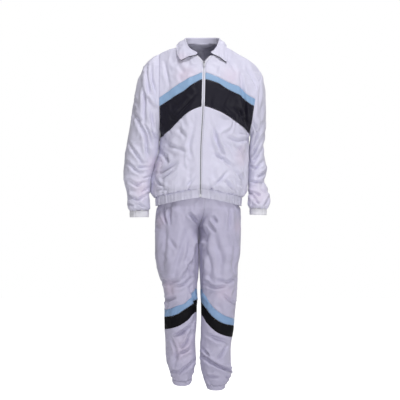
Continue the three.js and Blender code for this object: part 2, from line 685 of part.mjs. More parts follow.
function frontPiece(name, side, low, high, rows, look, options = {}) {
  const shares = columnShares(side, 'front');
  const heights = (share) => {
    const column = (z) => frontColumn(side, share, z);
    const top = high(column, share) - (options.crowd === 'top' ? 0 : seamMargin);
    return rowHeights(low(column, share) + seamMargin, top, rows, options.crowd);
  };
  const relief = (point, share, z, j) => {
    const window = Math.sqrt(Math.sin(Math.PI * share));
    const gather = gatherAt(shares, j, z, hemHeight(bandSeamHeight)(share));
    return gather - foldDepth(jacketFolds, point.x, z) * window;
  };
  const grid = surfaceGrid(frontSurface(side), shares, heights, sides[side], relief);
  return clothPiece(name, grid, look, options);
}

function frontPieces(side) {
  const panel = `chest_panel_${side}`;
  const seam = (key) => (column) => seamHeight(column, chestSeam[key]);
  const hem = (base) => (column, share) => hemHeight(base)(share);
  const top = (column, share) => frontSurface(side).top(share);
  const towardPit = { crowd: 'bottom' };
  return [
    frontPiece(`yoke_${side}`, side, seam('blueTop'), top, yokeRows, cloth, { crowd: 'top' }),
    frontPiece(`chest_stripe_${side}`, side, seam('blueBottom'), seam('blueTop'), stripeRows, blueCloth),
    frontPiece(panel, side, seam('darkBottom'), seam('blueBottom'), panelRows, darkCloth, towardPit),
    frontPiece(`front_lower_${side}`, side, hem(bandSeamHeight), seam('darkBottom'), 10, cloth),
    frontPiece(`hem_band_${side}`, side, hem(bandBottomHeight), hem(bandSeamHeight), 1, cloth),
  ];
}

function backPiece(name, heights) {
  const left = columnShares('left', 'back').map((share) => -share).reverse();
  const shares = [...left, ...columnShares('right', 'back').slice(1)];
  const relief = (point, share, z, j) => {
    const window = Math.sqrt(1 - share ** 2);
    const gather = gatherAt(shares, j, z, bandSeamHeight);
    return gather - foldDepth(backFolds, point.x, z) * window;
  };
  return clothPiece(name, surfaceGrid(backSurface, shares, heights, -1, relief), cloth);
}

function upperBackHeights(share, pit) {
  return rowHeights(pit, backSurface.top(share), sleeveRing / 2, 'both');
}

function backPieces() {
  const pit = (share) => mix(armholes.left.pit, armholes.right.pit, (share + 1) / 2);
  const body = (share) => {
    const lower = rowHeights(bandSeamHeight + seamMargin, pit(share), 6);
    return [...lower, ...upperBackHeights(share, pit(share)).slice(1)];
  };
  const band = () => rowHeights(bandBottomHeight + seamMargin, bandSeamHeight - seamMargin, 1);
  return [backPiece('back_panel', body), backPiece('hem_band_back', band)];
}

function zipTape(side) {
  const bottom = bandBottomHeight + frontArch + 2;
  const straight = rowHeights(bottom, zipTopHeight - 8, 18);
  const opened = rowHeights(zipTopHeight - 8, collarStartHeight - 3, 5).slice(1);
  const strip = {
    start: 0,
    top: () => collarStartHeight - 3,
    point: (t, z) => {
      const clearance = seamGap + 1.3 * smooth(zipTopHeight - 25, zipTopHeight - 5, z);
      const inner = frontEdge(side, z) + sides[side] * zipRunGap;
      const outer = panelEdge(side, z) - sides[side] * clearance;
      return bodyPoint(side, 'front', mix(inner, outer, t), z);
    },
  };
  const grid = surfaceGrid(strip, [0, 1], () => [...straight, ...opened], sides[side], () => 0);
  return clothPiece(`zip_tape_${side}`, grid, bandCloth, { wall: 1.2 });
}

function pocketWelt(side) {
  const welt = pocketWelts[side];
  const surface = frontSurface(side);
  const leaning = {
    start: 0,
    top: () => welt.top,
    point: (t, z) => {
      const start = mix(welt.bottomAcross, welt.topAcross, (z - welt.bottom) / (welt.top - welt.bottom));
      return surface.point(start + welt.width * t, z);
    },
  };
  const heights = () => rowHeights(welt.bottom, welt.top, 5);
  const relief = (point, t, z) => {
    const window = Math.sqrt(Math.sin(Math.PI * (welt.topAcross + welt.bottomAcross + welt.width) / 2));
    return welt.lift - foldDepth(jacketFolds, point.x, z) * window;
  };
  const grid = surfaceGrid(leaning, [0, 0.5, 1], heights, sides[side], relief);
  return clothPiece(`pocket_welt_${side}`, grid, cloth, { wall: weltHeight, lift: weltHeight });
}

// Sleeves

// Heights of the armhole's rim, those of the body's own rows: down its front edge, then up its back edge
function rimHeights(side) {
  const edge = frontSurface(side);
  const column = (z) => frontColumn(side, 1, z);
  const blueTop = seamHeight(column, chestSeam.blueTop);
  const blueBottom = seamHeight(column, chestSeam.blueBottom);
  const front = [
    ...rowHeights(armholes[side].pit, blueBottom, panelRows, 'bottom'),
    ...rowHeights(blueTop, edge.top(1), yokeRows, 'top'),
  ];
  return { front: front.reverse(), back: upperBackHeights(sides[side], armholes[side].pit) };
}

function armholeRim(side) {
  const heights = rimHeights(side);
  const rimPoint = (surface, share) => (z) => {
    const edge = surface.point(share, z);
    const leaving = edge.clone().sub(surface.point(share * 0.98, z)).normalize();
    const point = edge.addScaledVector(leaving, armholeGap / 2);
    point.x += sides[side] * armholeGap;
    return point;
  };
  return [
    ...heights.front.slice(0, -1).map(rimPoint(frontSurface(side), 1)),
    ...heights.back.slice(0, -1).map(rimPoint(backSurface, sides[side])),
  ];
}

function sleeveRingPoint(row, side, j) {
  const angle = (j / sleeveRing) * 2 * Math.PI;
  const round = 2 / sleevePower;
  const power = (value) => Math.sign(value) * Math.abs(value) ** round;
  const along = power(Math.cos(angle));
  const deep = power(Math.sin(angle));
  const depth = deep > 0 ? row.front : row.back;
  const x = mix(row.xi, row.xo, (1 + along) / 2);
  const z = mix(row.zi, row.zo, (1 + along) / 2);
  return new THREE.Vector3(x, row.y - deep * depth, z);
}

function sleevePiece(side) {
  const rows = sleeveRows[side];
  const steps = Array.from({ length: sleeveRing }, (_, j) => j);
  const rings = rows.map((row) => steps.map((j) => sleeveRingPoint(row, side, j)));
  const grid = [armholeRim(side), ...rings];
  const normals = gridNormals(grid, true, -sides[side]);
  const folded = grid.map((ring, i) =>
    ring.map((point, j) => {
      if (i === 0) {
        return point;
      }
      const front = Math.max(Math.sin((j / sleeveRing) * 2 * Math.PI), 0) ** 0.5;
      const back = Math.max(-Math.sin((j / sleeveRing) * 2 * Math.PI), 0) ** 0.5;
      const pressed = foldDepth(sleeveFolds[side], point.x, point.z) * (front + 0.6 * back);
      const fromEnd = rows.length - i;
      const gather = (j % 2 ? -gatherDepth : gatherDepth) * Math.max(1 - fromEnd / 3, 0) * 0.8;
      return point.clone().addScaledVector(normals[i][j], gather - pressed);
    }),
  );
  const inner = insetGrid(folded, gridNormals(folded, true, -sides[side]), clothWall);
  return piece(`sleeve_${side}`, wallGeometry(folded, inner, true), cloth);
}

function cuffPiece(side) {
  const row = cuffRows[side];
  const grid = [0, 1, 2].map((i) => {
    const down = seamGap + 0.4 + (cuffLength * i) / 2;
    return Array.from({ length: sleeveRing }, (_, j) => {
      const gather = j % 2 ? -1 : 1;
      const lowered = { ...row, zo: row.zo - down, zi: row.zi - down };
      lowered.front += gather;
      lowered.back += gather;
      return sleeveRingPoint(lowered, side, j);
    });
  });
  const normals = gridNormals(grid, true, -sides[side]);
  return clothPiece(`cuff_${side}`, { points: grid, normals }, bandCloth, { wall: bandWall, wrap: true });
}

// Collar

// Lifts a point of the fallen leaf until it lies clear of the shoulder and chest below it
function clearOfBody(point) {
  const side = point.x < neck.x ? 'left' : 'right';
  const face = point.y < neck.y ? 'front' : 'back';
  const lift = new THREE.Vector3(0, face === 'front' ? -0.6 : 0.6, 0.8);
  for (let step = 0; step < 40; step += 1) {
    const top = topEdge(point.x, side, face).z;
    const surface = bodyPoint(side, face, point.x, Math.min(point.z - leafClearance * 0.6, top)).y;
    const before = Math.abs(point.y) > Math.abs(surface) + leafClearance * 0.6;
    if (before || point.z > top + leafClearance) {
      break;
    }
    point.addScaledVector(lift, 0.5);
  }
  return point;
}

// The neckline as the body's columns draw it, at an angle from the nape (0) to either front edge
function neckPoint(angle) {
  const side = angle > 0 ? 'left' : 'right';
  const face = Math.abs(angle) > 90 ? 'front' : 'back';
  const knots = neckAngles(side)[face];
  const size = Math.min(Math.abs(angle), knots[0]);
  const k = Math.max(knots.findIndex((knot) => size >= knot - 1e-9), 1);
  const corner = (knot) => {
    const x = neckPlace(side, knot);
    const edge = neckEdge(x, face);
    return new THREE.Vector3(x, edge.y, edge.z);
  };
  return corner(knots[k - 1]).lerp(corner(knots[k]), (knots[k - 1] - size) / (knots[k - 1] - knots[k]));
}

// Stations round the collar: the body's own columns, and one more between them in front and at the shoulders
function collarStations() {
  const along = (side) => Object.values(neckAngles(side)).flat().map((angle) => -sides[side] * angle);
  const knots = [...along('right'), ...along('left').reverse()];
  const distinct = knots.filter((angle, k) => k === 0 || angle > knots[k - 1] + 1e-6);
  return distinct.flatMap((angle, k) => {
    if (k === distinct.length - 1) {
      return [angle];
    }
    const next = distinct[k + 1];
    const inFront = Math.max(Math.abs(angle), Math.abs(next)) > 89;
    return inFront ? [angle, (angle + next) / 2] : [angle];
  });
}

function collarPiece() {
  const at = (key) => curve(collarRows, 'angle', key);
  const read = {
    foldX: at('foldX'), foldY: at('foldY'), foldZ: at('foldZ'),
    edgeX: at('edgeX'), edgeY: at('edgeY'), edgeZ: at('edgeZ'),
  };
  const grid = collarStations().map((angle) => {
    const turn = (angle * Math.PI) / 180;
    const outward = new THREE.Vector3(-Math.sin(turn), Math.cos(turn), 0);
    const base = neckPoint(angle);
    base.z += seamGap + 0.6;
    base.addScaledVector(outward, -standInset * smooth(24, 8, Math.abs(Math.abs(angle) - 98)));
    const fold = new THREE.Vector3(read.foldX(angle), read.foldY(angle), read.foldZ(angle));
    const leaf = new THREE.Vector3(read.edgeX(angle), read.edgeY(angle), read.edgeZ(angle));
    const lower = fold.clone().sub(base);
    const over = fold.clone().addScaledVector(outward, foldRadius * 2).add(new THREE.Vector3(0, 0, -1.5));
    const fall = leaf.clone().sub(over);
    const middle = over.clone().addScaledVector(fall, 0.5).addScaledVector(outward, leafBulge * 0.6);
    middle.z += leafBulge * 0.6;
    const route = new THREE.CatmullRomCurve3([
      base,
      base.clone().addScaledVector(lower, 0.6),
      fold,
      fold.clone().addScaledVector(outward, foldRadius).add(new THREE.Vector3(0, 0, foldRadius * 0.8)),
      over,
      middle,
      leaf,
    ], false, 'centripetal');
    return route.getPoints(8).map((point, k) => (k > 3 ? clearOfBody(point) : point));
  });
  const normals = gridNormals(grid, false, 1);
  const half = clothWall / 2;
  const outer = insetGrid(grid, normals, -half);
  const inner = insetGrid(grid, normals, half);
  return piece('collar', wallGeometry(outer, inner, false), cloth);
}

// Trousers

const riseX = curve(riseRows, 'z', 'x');

function legReader(side) {
  const at = (key) => curve(legRows[side], 'z', key);
  return { outer: at('outer'), inner: at('inner'), front: at('front'), back: at('back'), y: at('y') };
}

const legs = { left: legReader('left'), right: legReader('right') };
const legBand = {};
for (const side of Object.keys(sides)) {
  const rows = legBandRows[side];
  legBand[side] = {
    blueTop: curve(rows, 'x', 'blueTop'),
    blueBottom: curve(rows, 'x', 'blueBottom'),
    darkBottom: curve(rows, 'x', 'darkBottom'),
  };
}

// How far the seat's outline has become two legs: 1 from the crotch down at the inner seam, later at the side
function legShare(turn, z) {
  const t = Math.min(Math.max((seatSplit.top - z) / (seatSplit.top - crotchHeight), 0), 1);
  const atSeam = t ** 2.2;
  const atThigh = smooth(seatSplit.thighTop, seatSplit.thighEnd, z);
  return mix(atSeam, atThigh, smooth(0, seatSplit.reach, turn));
}

// A point of a trouser leg; turn runs 0 to 1 from the inner seam to the side seam
function legPoint(side, face, turn, z) {
  const leg = legs[side];
  const facing = face === 'front' ? -1 : 1;
  const outer = leg.outer(z);
  const depth = leg[face](z);
  const share = legShare(turn, z);
  const round = 2 / legPower;
  const centreX = riseX(z) + sides[side] * (seamGap / 2 + 0.1);
  const inner = z > crotchHeight ? riseX(z) + sides[side] * legGap : leg.inner(z);
  const hipAngle = (turn * Math.PI) / 2;
  const hipX = centreX + (outer - centreX) * Math.sin(hipAngle);
  const hipY = facing * depth * Math.sqrt(1 - Math.sin(hipAngle) ** crownPower);
  const legAngle = turn * Math.PI;
  const cosine = Math.cos(legAngle);
  const swing = Math.sign(cosine) * Math.abs(cosine) ** round;
  const legX = mix(outer, inner, (1 + swing) / 2);
  const legY = facing * depth * Math.max(Math.sin(legAngle), 0) ** round;
  const x = mix(hipX, legX, share);
  const y = leg.y(z) + mix(hipY, legY, share);
  const tilt = ankleBands[side];
  const tiltShare = smooth(tilt.top + ankleTiltReach, tilt.top, z);
  const dropped = z + (tilt.drop * (y - leg.y(z))) / 45 * tiltShare;
  return new THREE.Vector3(x, y + facing * (seamGap / 2), dropped);
}

function legSurface(side, face) {
  return { start: 0, top: () => waistTopHeight, point: (turn, z) => legPoint(side, face, turn, z) };
}

const legTurns = Array.from({ length: legColumns + 1 }, (_, j) => j / legColumns);

function legRelief(side, face) {
  const strength = face === 'front' ? 1 : 0.6;
  return (point, turn, z, j) => {
    const window = Math.sqrt(Math.sin(Math.PI * Math.min(turn, 1)) + 1e-9);
    const gather = gatherAt(legTurns, j, z, ankleBands[side].top) * 0.7;
    return gather - foldDepth(legFolds[side], point.x, point.z) * window * strength;
  };
}

function legPiece(name, side, face, heights, look) {
  const outward = sides[side] * (face === 'front' ? 1 : -1);
  const grid = surfaceGrid(legSurface(side, face), legTurns, heights, outward, legRelief(side, face));
  return clothPiece(name, grid, look);
}

// Rows of a leg's front at one turn, piece by piece from the rise to the ankle band
function legHeights(side, turn) {
  const edge = {};
  for (const key of ['blueTop', 'blueBottom', 'darkBottom']) {
    let z = -1080;
    for (let step = 0; step < 12; step += 1) {
      z = mix(z, legBand[side][key](legPoint(side, 'front', turn, z).x), 0.7);
    }
    edge[key] = z;
  }
  const run = (low, high, rows, crowd) => rowHeights(low + seamMargin, high - seamMargin, rows, crowd);
  const rise = rowHeights(crotchHeight, riseTopHeight - seamMargin, 8, 'bottom').slice(1);
  return {
    upper: [...rowHeights(edge.blueTop + seamMargin, crotchHeight, 7), ...rise],
    blue: run(edge.blueBottom, edge.blueTop, 1),
    dark: run(edge.darkBottom, edge.blueBottom, 2),
    lower: run(ankleBands[side].top, edge.darkBottom, 6),
  };
}

function backHeights(side) {
  const whole = (turn) => {
    const rows = legHeights(side, turn);
    return [...rows.lower, ...rows.dark.slice(1), ...rows.blue.slice(1), ...rows.upper.slice(1)];
  };
  const inner = whole(0);
  const outer = whole(1);
  return (turn) => inner.map((height, i) => mix(height, outer[i], turn));
}

function legPieces(side) {
  const front = (key) => (turn) => legHeights(side, turn)[key];
  return [
    legPiece(`leg_front_upper_${side}`, side, 'front', front('upper'), trouserCloth),
    legPiece(`leg_stripe_blue_${side}`, side, 'front', front('blue'), blueCloth),
    legPiece(`leg_stripe_dark_${side}`, side, 'front', front('dark'), darkCloth),
    legPiece(`leg_front_lower_${side}`, side, 'front', front('lower'), trouserCloth),
    legPiece(`leg_back_${side}`, side, 'back', backHeights(side), trouserCloth),
    ankleBand(side),
  ];
}

// A ring of trouser points at one height, front then back, starting at the inner seam
function legRing(side, z) {
  const ring = { points: [], normals: [] };
  for (let j = 0; j < 2 * legColumns; j += 1) {
    const face = j < legColumns ? 'front' : 'back';
    const turn = j < legColumns ? j / legColumns : 2 - j / legColumns;
    const outward = sides[side] * (face === 'front' ? 1 : -1);
    ring.points.push(legPoint(side, face, turn, z));
    ring.normals.push(normalOn(legSurface(side, face), turn, z, outward));
  }
  return ring;
}

function ankleBand(side) {
  const band = ankleBands[side];
  const rings = rowHeights(band.bottom, band.top - seamMargin, 1).map((z) => legRing(side, z));
  const points = rings.map((ring) => ring.points.map((point, j) => {
    const gather = j % legColumns === 0 ? 0 : (j % 2 ? -1 : 1) * gatherDepth * 0.7;
    return point.addScaledVector(ring.normals[j], gather);
  }));
  const normals = rings.map((ring) => ring.normals);
  return clothPiece(`ankle_band_${side}`, { points, normals }, trouserCloth, { wrap: true });
}

function waistband() {
  const hip = (turn) => turn > 1e-6 && turn < 1 - 1e-6;
  const turns = Array.from({ length: 9 }, (_, j) => j / 8).filter((turn) => hip(turn) || turn === 1);
  const ring = (z) => {
    const walk = (side, face, backwards) => {
      const run = turns.map((turn) => legPoint(side, face, turn, z));
      return backwards ? run.reverse() : run;
    };
    return [
      ...walk('left', 'front', false),
      ...walk('left', 'back', true).slice(1),
      ...walk('right', 'back', false),
      ...walk('right', 'front', true).slice(1),
    ];
  };
  const points = rowHeights(riseTopHeight + seamMargin, waistTopHeight, 1).map(ring);
  const normals = gridNormals(points, true, 1);
  return clothPiece('waistband', { points, normals }, trouserCloth, { wall: bandWall, wrap: true });
}

// Zip hardware

function solidOf(geometry) {
  const bare = geometry.index ? geometry : mergeVertices(geometry);
  bare.deleteAttribute('normal');
  bare.deleteAttribute('uv');
  const merged = mergeVertices(bare);
  const vertProperties = new Float32Array(merged.attributes.position.array);
  const triVerts = new Uint32Array(merged.index.array);
  return new wasm.Manifold(new wasm.Mesh({ numProp: 3, vertProperties, triVerts }));
}

function geometryOf(solid) {
  const mesh = solid.getMesh();
  const geometry = new THREE.BufferGeometry();
  geometry.setAttribute('position', new THREE.Float32BufferAttribute(mesh.vertProperties, 3));
  geometry.setIndex(Array.from(mesh.triVerts));
  geometry.computeVertexNormals();
  return geometry;
}

function roundedPlate(width, height, thick, corner) {
  const shape = new THREE.Shape();
  const w = width / 2;
  shape.moveTo(-w + corner, -height);
  shape.lineTo(w - corner, -height);
  shape.absarc(w - corner, -height + corner, corner, -Math.PI / 2, 0, false);
  shape.lineTo(w, -corner);
  shape.absarc(w - corner, -corner, corner, 0, Math.PI / 2, false);
  shape.lineTo(-w + corner, 0);
  shape.absarc(-w + corner, -corner, corner, Math.PI / 2, Math.PI, false);
  shape.lineTo(-w, -height + corner);
  shape.absarc(-w + corner, -height + corner, corner, Math.PI, 1.5 * Math.PI, false);
  return { shape, extrude: { depth: thick, bevelEnabled: false, curveSegments: 4 } };
}

// Plates are drawn in X and Z and stand thick along Y, with y = 0 on their face nearest the wearer
function upright(plate) {
  const geometry = new THREE.ExtrudeGeometry(plate.shape, plate.extrude);
  geometry.rotateX(Math.PI / 2);
  return geometry;
}

function sliderPiece() {
  const plate = solidOf(upright(roundedPlate(slider.width, slider.height, slider.thick, 2)));
  const ear = (side) => {
    const box = new THREE.BoxGeometry(slider.ear, slider.earReach + 0.4, 4);
    const x = side * (slider.earGap / 2 + slider.ear / 2);
    box.translate(x, -slider.thick - slider.earReach / 2 + 0.2, -slider.height / 2);
    return solidOf(box);
  };
  const pin = new THREE.CylinderGeometry(slider.pin, slider.pin, slider.earGap + slider.ear, 12);
  pin.rotateZ(Math.PI / 2);
  pin.translate(0, pinY, -slider.height / 2);
  const whole = plate.add(ear(-1)).add(ear(1)).add(solidOf(pin));
  return piece('zip_slider', geometryOf(whole), hardPlastic);
}

const pinY = -slider.thick - slider.earReach + 1.2;

function pullPiece() {
  const outline = new THREE.Shape();
  outline.absarc(0, 0, pull.eyeOuter, 0, 2 * Math.PI, false);
  const bore = new THREE.Path();
  bore.absarc(0, 0, pull.eyeInner, 0, 2 * Math.PI, true);
  outline.holes.push(bore);
  const barrel = { depth: pull.eyeWidth, bevelEnabled: false, curveSegments: 8 };
  const eye = new THREE.ExtrudeGeometry(outline, barrel);
  eye.translate(0, 0, -pull.eyeWidth / 2);
  eye.rotateY(Math.PI / 2);
  const neckLength = 4;
  const stem = new THREE.BoxGeometry(pull.eyeWidth, pull.thick, neckLength);
  stem.translate(0, 0, -pull.eyeInner - 0.35 - neckLength / 2);
  const paddle = roundedPlate(pull.width, pull.length - neckLength, pull.thick, 2.4);
  const hole = new THREE.Path();
  hole.absarc(0, -pull.length + neckLength + 4, pull.hole, 0, 2 * Math.PI, true);
  paddle.shape.holes.push(hole);
  const blade = upright(paddle);
  blade.translate(0, pull.thick / 2, -neckLength);
  const whole = solidOf(eye).add(solidOf(stem)).add(solidOf(blade));
  return piece('zip_pull', geometryOf(whole), hardPlastic);
}

// Seats a hard piece on the zip's line at height z, leaning with the front
function seatOnZip(mesh, z, reach, lift) {
  const at = (height) => bodyPoint('right', 'front', zipX(height) + zipRunGap, height);
  const high = at(z);
  const low = at(z - reach);
  const seat = new THREE.Group();
  seat.position.set(zipX(z), high.y, z);
  seat.rotation.x = Math.atan2(low.y - high.y, z - low.z);
  mesh.position.y -= lift;
  seat.add(mesh);
  return seat;
}

function zipHardware() {
  const group = new THREE.Group();
  const runner = sliderPiece();
  const tab = pullPiece();
  tab.position.set(0, pinY, -slider.height / 2);
  const box = piece('zip_box', upright(roundedPlate(9, 11, 2.6, 1)), hardPlastic);
  const top = zipTopHeight + 3;
  const foot = bandBottomHeight + frontArch + 16;
  group.add(seatOnZip(runner, top, 30, hardwareLift));
  group.add(seatOnZip(tab, top, 30, hardwareLift));
  group.add(seatOnZip(box, foot, 12, hardwareLift));
  return group;
}

const jacket = new THREE.Group();
const trousers = new THREE.Group();
jacket.add(...backPieces());
for (const side of Object.keys(sides)) {
  jacket.add(...frontPieces(side), zipTape(side), pocketWelt(side), sleevePiece(side), cuffPiece(side));
  trousers.add(...legPieces(side));
}
jacket.add(collarPiece(), zipHardware());
trousers.add(waistband());

const tracksuit = new THREE.Group();
tracksuit.add(jacket, trousers);

export default tracksuit;
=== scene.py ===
import json
import math

import bpy
import numpy as np
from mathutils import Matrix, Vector

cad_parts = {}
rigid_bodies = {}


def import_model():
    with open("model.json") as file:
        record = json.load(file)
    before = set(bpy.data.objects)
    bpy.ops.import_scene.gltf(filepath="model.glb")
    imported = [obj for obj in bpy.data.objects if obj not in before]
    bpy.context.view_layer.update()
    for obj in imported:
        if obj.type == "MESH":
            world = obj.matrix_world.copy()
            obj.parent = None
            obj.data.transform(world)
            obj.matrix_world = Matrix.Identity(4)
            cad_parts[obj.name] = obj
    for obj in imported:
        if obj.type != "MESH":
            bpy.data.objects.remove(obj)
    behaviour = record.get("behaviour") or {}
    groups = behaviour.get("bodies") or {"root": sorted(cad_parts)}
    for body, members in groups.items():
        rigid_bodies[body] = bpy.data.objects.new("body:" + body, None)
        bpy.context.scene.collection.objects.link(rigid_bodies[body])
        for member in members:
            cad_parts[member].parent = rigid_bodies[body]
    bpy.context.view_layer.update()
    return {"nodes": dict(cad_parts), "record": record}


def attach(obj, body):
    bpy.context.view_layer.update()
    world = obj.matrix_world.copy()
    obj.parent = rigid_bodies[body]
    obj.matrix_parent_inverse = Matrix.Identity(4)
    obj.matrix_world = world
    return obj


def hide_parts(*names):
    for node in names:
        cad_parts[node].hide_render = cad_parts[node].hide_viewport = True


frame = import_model()
print("frame loaded:", len(frame["nodes"]), "nodes")

sides = {"left": -1, "right": 1}
faceWays = {"front": -1, "back": 1}
metres = 0.001

suit = {
    "wall": 1.0,  # thickness of the shell cloth
    "bandWall": 1.8,
    "crotch": -748,
    "zipTop": -54,
    "collarStart": -22,
    "bandSeam": -620,
    "bandBottom": -655,
    "riseTop": -515,
    "waistTop": -475,
}


# Small helpers

def smooth(low, high, value):
    t = np.clip((value - low) / (high - low), 0, 1)
    return t * t * (3 - 2 * t)


def mix(a, b, t):
    return a + (b - a) * t


def bump(value):
    return np.exp(-value ** 2)


def hermite(t, first, last, leave, arrive):  # between two values, with a slope at each
    return (mix(first, last, t * t * (3 - 2 * t))
            + (t ** 3 - 2 * t ** 2 + t) * leave + (t ** 3 - t ** 2) * arrive)


def curveThrough(places, values):  # smooth, and never overshoots its points
    p, v = np.array(places, float), np.array(values, float)
    if p[0] > p[-1]:
        p, v = p[::-1], v[::-1]
    gap = np.diff(p)
    chord = np.diff(v) / gap
    slope = np.zeros(len(p))
    slope[0], slope[-1] = chord[0], chord[-1]
    same = chord[:-1] * chord[1:] > 0
    total = np.where(same, chord[:-1] + chord[1:], 1)
    slope[1:-1] = np.where(same, 2 * chord[:-1] * chord[1:] / total, 0)

    def read(place):
        q = np.clip(np.asarray(place, float), p[0], p[-1])
        i = np.clip(np.searchsorted(p, q, side="right") - 1, 0, len(p) - 2)
        return hermite((q - p[i]) / gap[i], v[i], v[i + 1], gap[i] * slope[i], gap[i] * slope[i + 1])

    return read


def columns(names, rows):  # a table of rows as curves over its first column
    places = [row[0] for row in rows]
    return {name: curveThrough(places, [row[k + 1] for row in rows]) for k, name in enumerate(names)}


def stack(x, y, z):
    return np.stack(np.broadcast_arrays(x, y, z), axis=-1)


def gridNormals(grid, outward, wrap=False):
    across = np.roll(grid, -1, axis=1) - np.roll(grid, 1, axis=1) if wrap else np.gradient(grid, axis=1)
    normal = np.cross(across, np.gradient(grid, axis=0)) * outward
    return normal / np.maximum(np.linalg.norm(normal, axis=-1, keepdims=True), 1e-9)


def shapedBy(grid, normals, relief, outward, wrap=False):  # the raised surface and its own normals
    shaped = grid + normals * relief[..., None]
    return shaped, gridNormals(shaped, outward, wrap)


def meetAtSides(normals, columns):  # front and back share their edge, so both face straight out there
    for column in columns:
        normals[:, column, 1] = 0
        normals[:, column] /= np.linalg.norm(normals[:, column], axis=-1, keepdims=True)
    return normals


def runLength(grid, axis):  # distance along each line of a grid
    step = np.linalg.norm(np.diff(grid, axis=axis), axis=-1)
    pad = [(1, 0), (0, 0)] if axis == 0 else [(0, 0), (1, 0)]
    return np.pad(np.cumsum(step, axis=axis), pad)


def looped(grid, axis=0):  # ends where it starts
    return np.concatenate([grid, np.take(grid, [0], axis=axis)], axis=axis)


def tubeRuns(grid):  # distances up a tube and around it
    return runLength(grid, 0), runLength(looped(grid, 1), 1)[:, :-1]


# Seeded waves for the uneven lie of cloth

def makeWaves(seed, size, count=12, tall=1.0):
    draw = np.random.default_rng(seed)
    way = draw.normal(size=(count, 3))
    way /= np.linalg.norm(way, axis=1)[:, None]
    way = way * np.array([1, 1, 1 / tall]) * 2 * math.pi / (size * draw.uniform(0.7, 1.4, count))[:, None]
    phase = draw.uniform(0, 2 * math.pi, count)

    def read(points):
        total = np.zeros(points.shape[:-1])
        for k in range(count):
            total += np.sin(points @ way[k] + phase[k])
        return total * math.sqrt(2 / count)

    return read


crumple = {
    "broad": makeWaves(11, 150, tall=1.7), "broadDepth": 4.2,
    "middle": makeWaves(12, 74, tall=1.5), "middleDepth": 3.2,
    "small": makeWaves(13, 34, tall=1.3), "smallDepth": 1.25,
    "warp": makeWaves(14, 90), "warpReach": 11, "swayReach": 3, "swayScale": 0.7, "crest": 0.8, "soft": 0.05,
}


def crumpled(points):  # soft crests and sharper valleys at three sizes
    moved = points + crumple["warp"](points)[..., None] * crumple["warpReach"]
    total = np.zeros(points.shape[:-1])
    for size in ("broad", "middle", "small"):
        total += crumple[size + "Depth"] * (
            crumple["crest"] - np.sqrt(crumple[size](moved) ** 2 + crumple["soft"]))
    return total


crease = {"gain": 2.6, "narrow": 0.85, "runOut": 0.3, "fade": 0.75, "rim": 0.42, "rimAt": 1.9,
          "rimWidth": 1.1}


def creased(creases, x, z):  # each crease: its depth, its half width, and its path as x and z in the front view
    total = np.zeros(np.broadcast(x, z).shape)
    for deep, width, *path in creases:
        points = np.array(path, float).reshape(-1, 2)
        points[0] += (points[0] - points[1]) * crease["runOut"]
        points[-1] += (points[-1] - points[-2]) * crease["runOut"]
        lengths = np.linalg.norm(np.diff(points, axis=0), axis=1)
        nearest, along, done = np.full(total.shape, 1e9), np.zeros(total.shape), 0
        for (x0, z0), (x1, z1), length in zip(points, points[1:], lengths):
            dx, dz = (x1 - x0) / length, (z1 - z0) / length
            t = np.clip((x - x0) * dx + (z - z0) * dz, 0, length)
            away = np.hypot(x - x0 - t * dx, z - z0 - t * dz)
            along = np.where(away < nearest, (done + t) / lengths.sum(), along)
            nearest = np.minimum(nearest, away)
            done += length
        strength = np.maximum(np.sin(np.pi * np.clip(along, 0, 1)), 0) ** crease["fade"]
        reach = width * crease["narrow"]
        rim = crease["rim"] * bump((nearest - crease["rimAt"] * reach) / (crease["rimWidth"] * reach))
        total += deep * crease["gain"] * strength * (bump(nearest / reach) - rim)
    return total


def swayed(grid):  # the front view's x and z, a little bent, so that no crease is straight
    bent = grid + crumple["warp"](grid * crumple["swayScale"])[..., None] * crumple["swayReach"]
    return bent[..., 0], bent[..., 2]


pleatSizes = ((1.0, 0.55), (1.63, 0.5), (0.61, 0.3), (2.7, 0.35))  # size, and share of the depth
seeds = {
    "front": 21, "back": 22, "hemBand": 23, "sleeve": 31, "armhole": 33, "cuff": 41, "leg": 51, "ankle": 61,
    "waist": 71,
}


def gathered(around, above, seed, depth, pitch, reach):  # pleats from a gathered edge, each to its own height
    draw = np.random.default_rng(seed)
    total = np.zeros(np.broadcast(around, above).shape)
    for size, share in pleatSizes:
        phase, sway = draw.uniform(0, 2 * math.pi), draw.uniform(0, 2 * math.pi)
        wave = np.sin(2 * math.pi * around / (pitch * size) + phase + 0.9 * np.sin(around / 37 + sway))
        fade = reach * math.sqrt(size) * (0.75 + 0.45 * np.sin(around / 23 + sway))
        total += share * wave * np.exp(-np.maximum(above, 0) / np.maximum(fade, 4))
    return depth * total * (0.72 + 0.4 * np.sin(around / 29 + 2.1 * np.sin(around / 83)))


elastic = {  # rib depth, pitch and reach; stitched channels as place, depth and half width; fullness
    "cuff": ((1.5, 7.5, 20), ((0.34, 0.9, 1.6), (0.67, 0.9, 1.6)), 1.2),
    "ankle": ((1.2, 9, 20), ((0.3, 1.1, 1.8), (1, 1.1, 1.8), (0.68, 0.9, 1.6)), 1.4),
    "waist": ((1.3, 11, 20), ((0.25, 0.9, 1.8), (0.5, 0.9, 1.8), (0.75, 0.9, 1.8)), 0),
}


def elasticRelief(grid, kind, side="left"):
    up, around = tubeRuns(grid)
    ribs, channels, full = elastic[kind]
    relief = gathered(around, np.zeros(up.shape), seeds[kind] + (side == "right"), *ribs)
    for place, deep, width in channels:
        relief -= deep * bump((up - up[-1:] * place) / width)
    return relief + full * np.sin(np.clip(up / up[-1:], 0, 1) * math.pi)


# Meshes

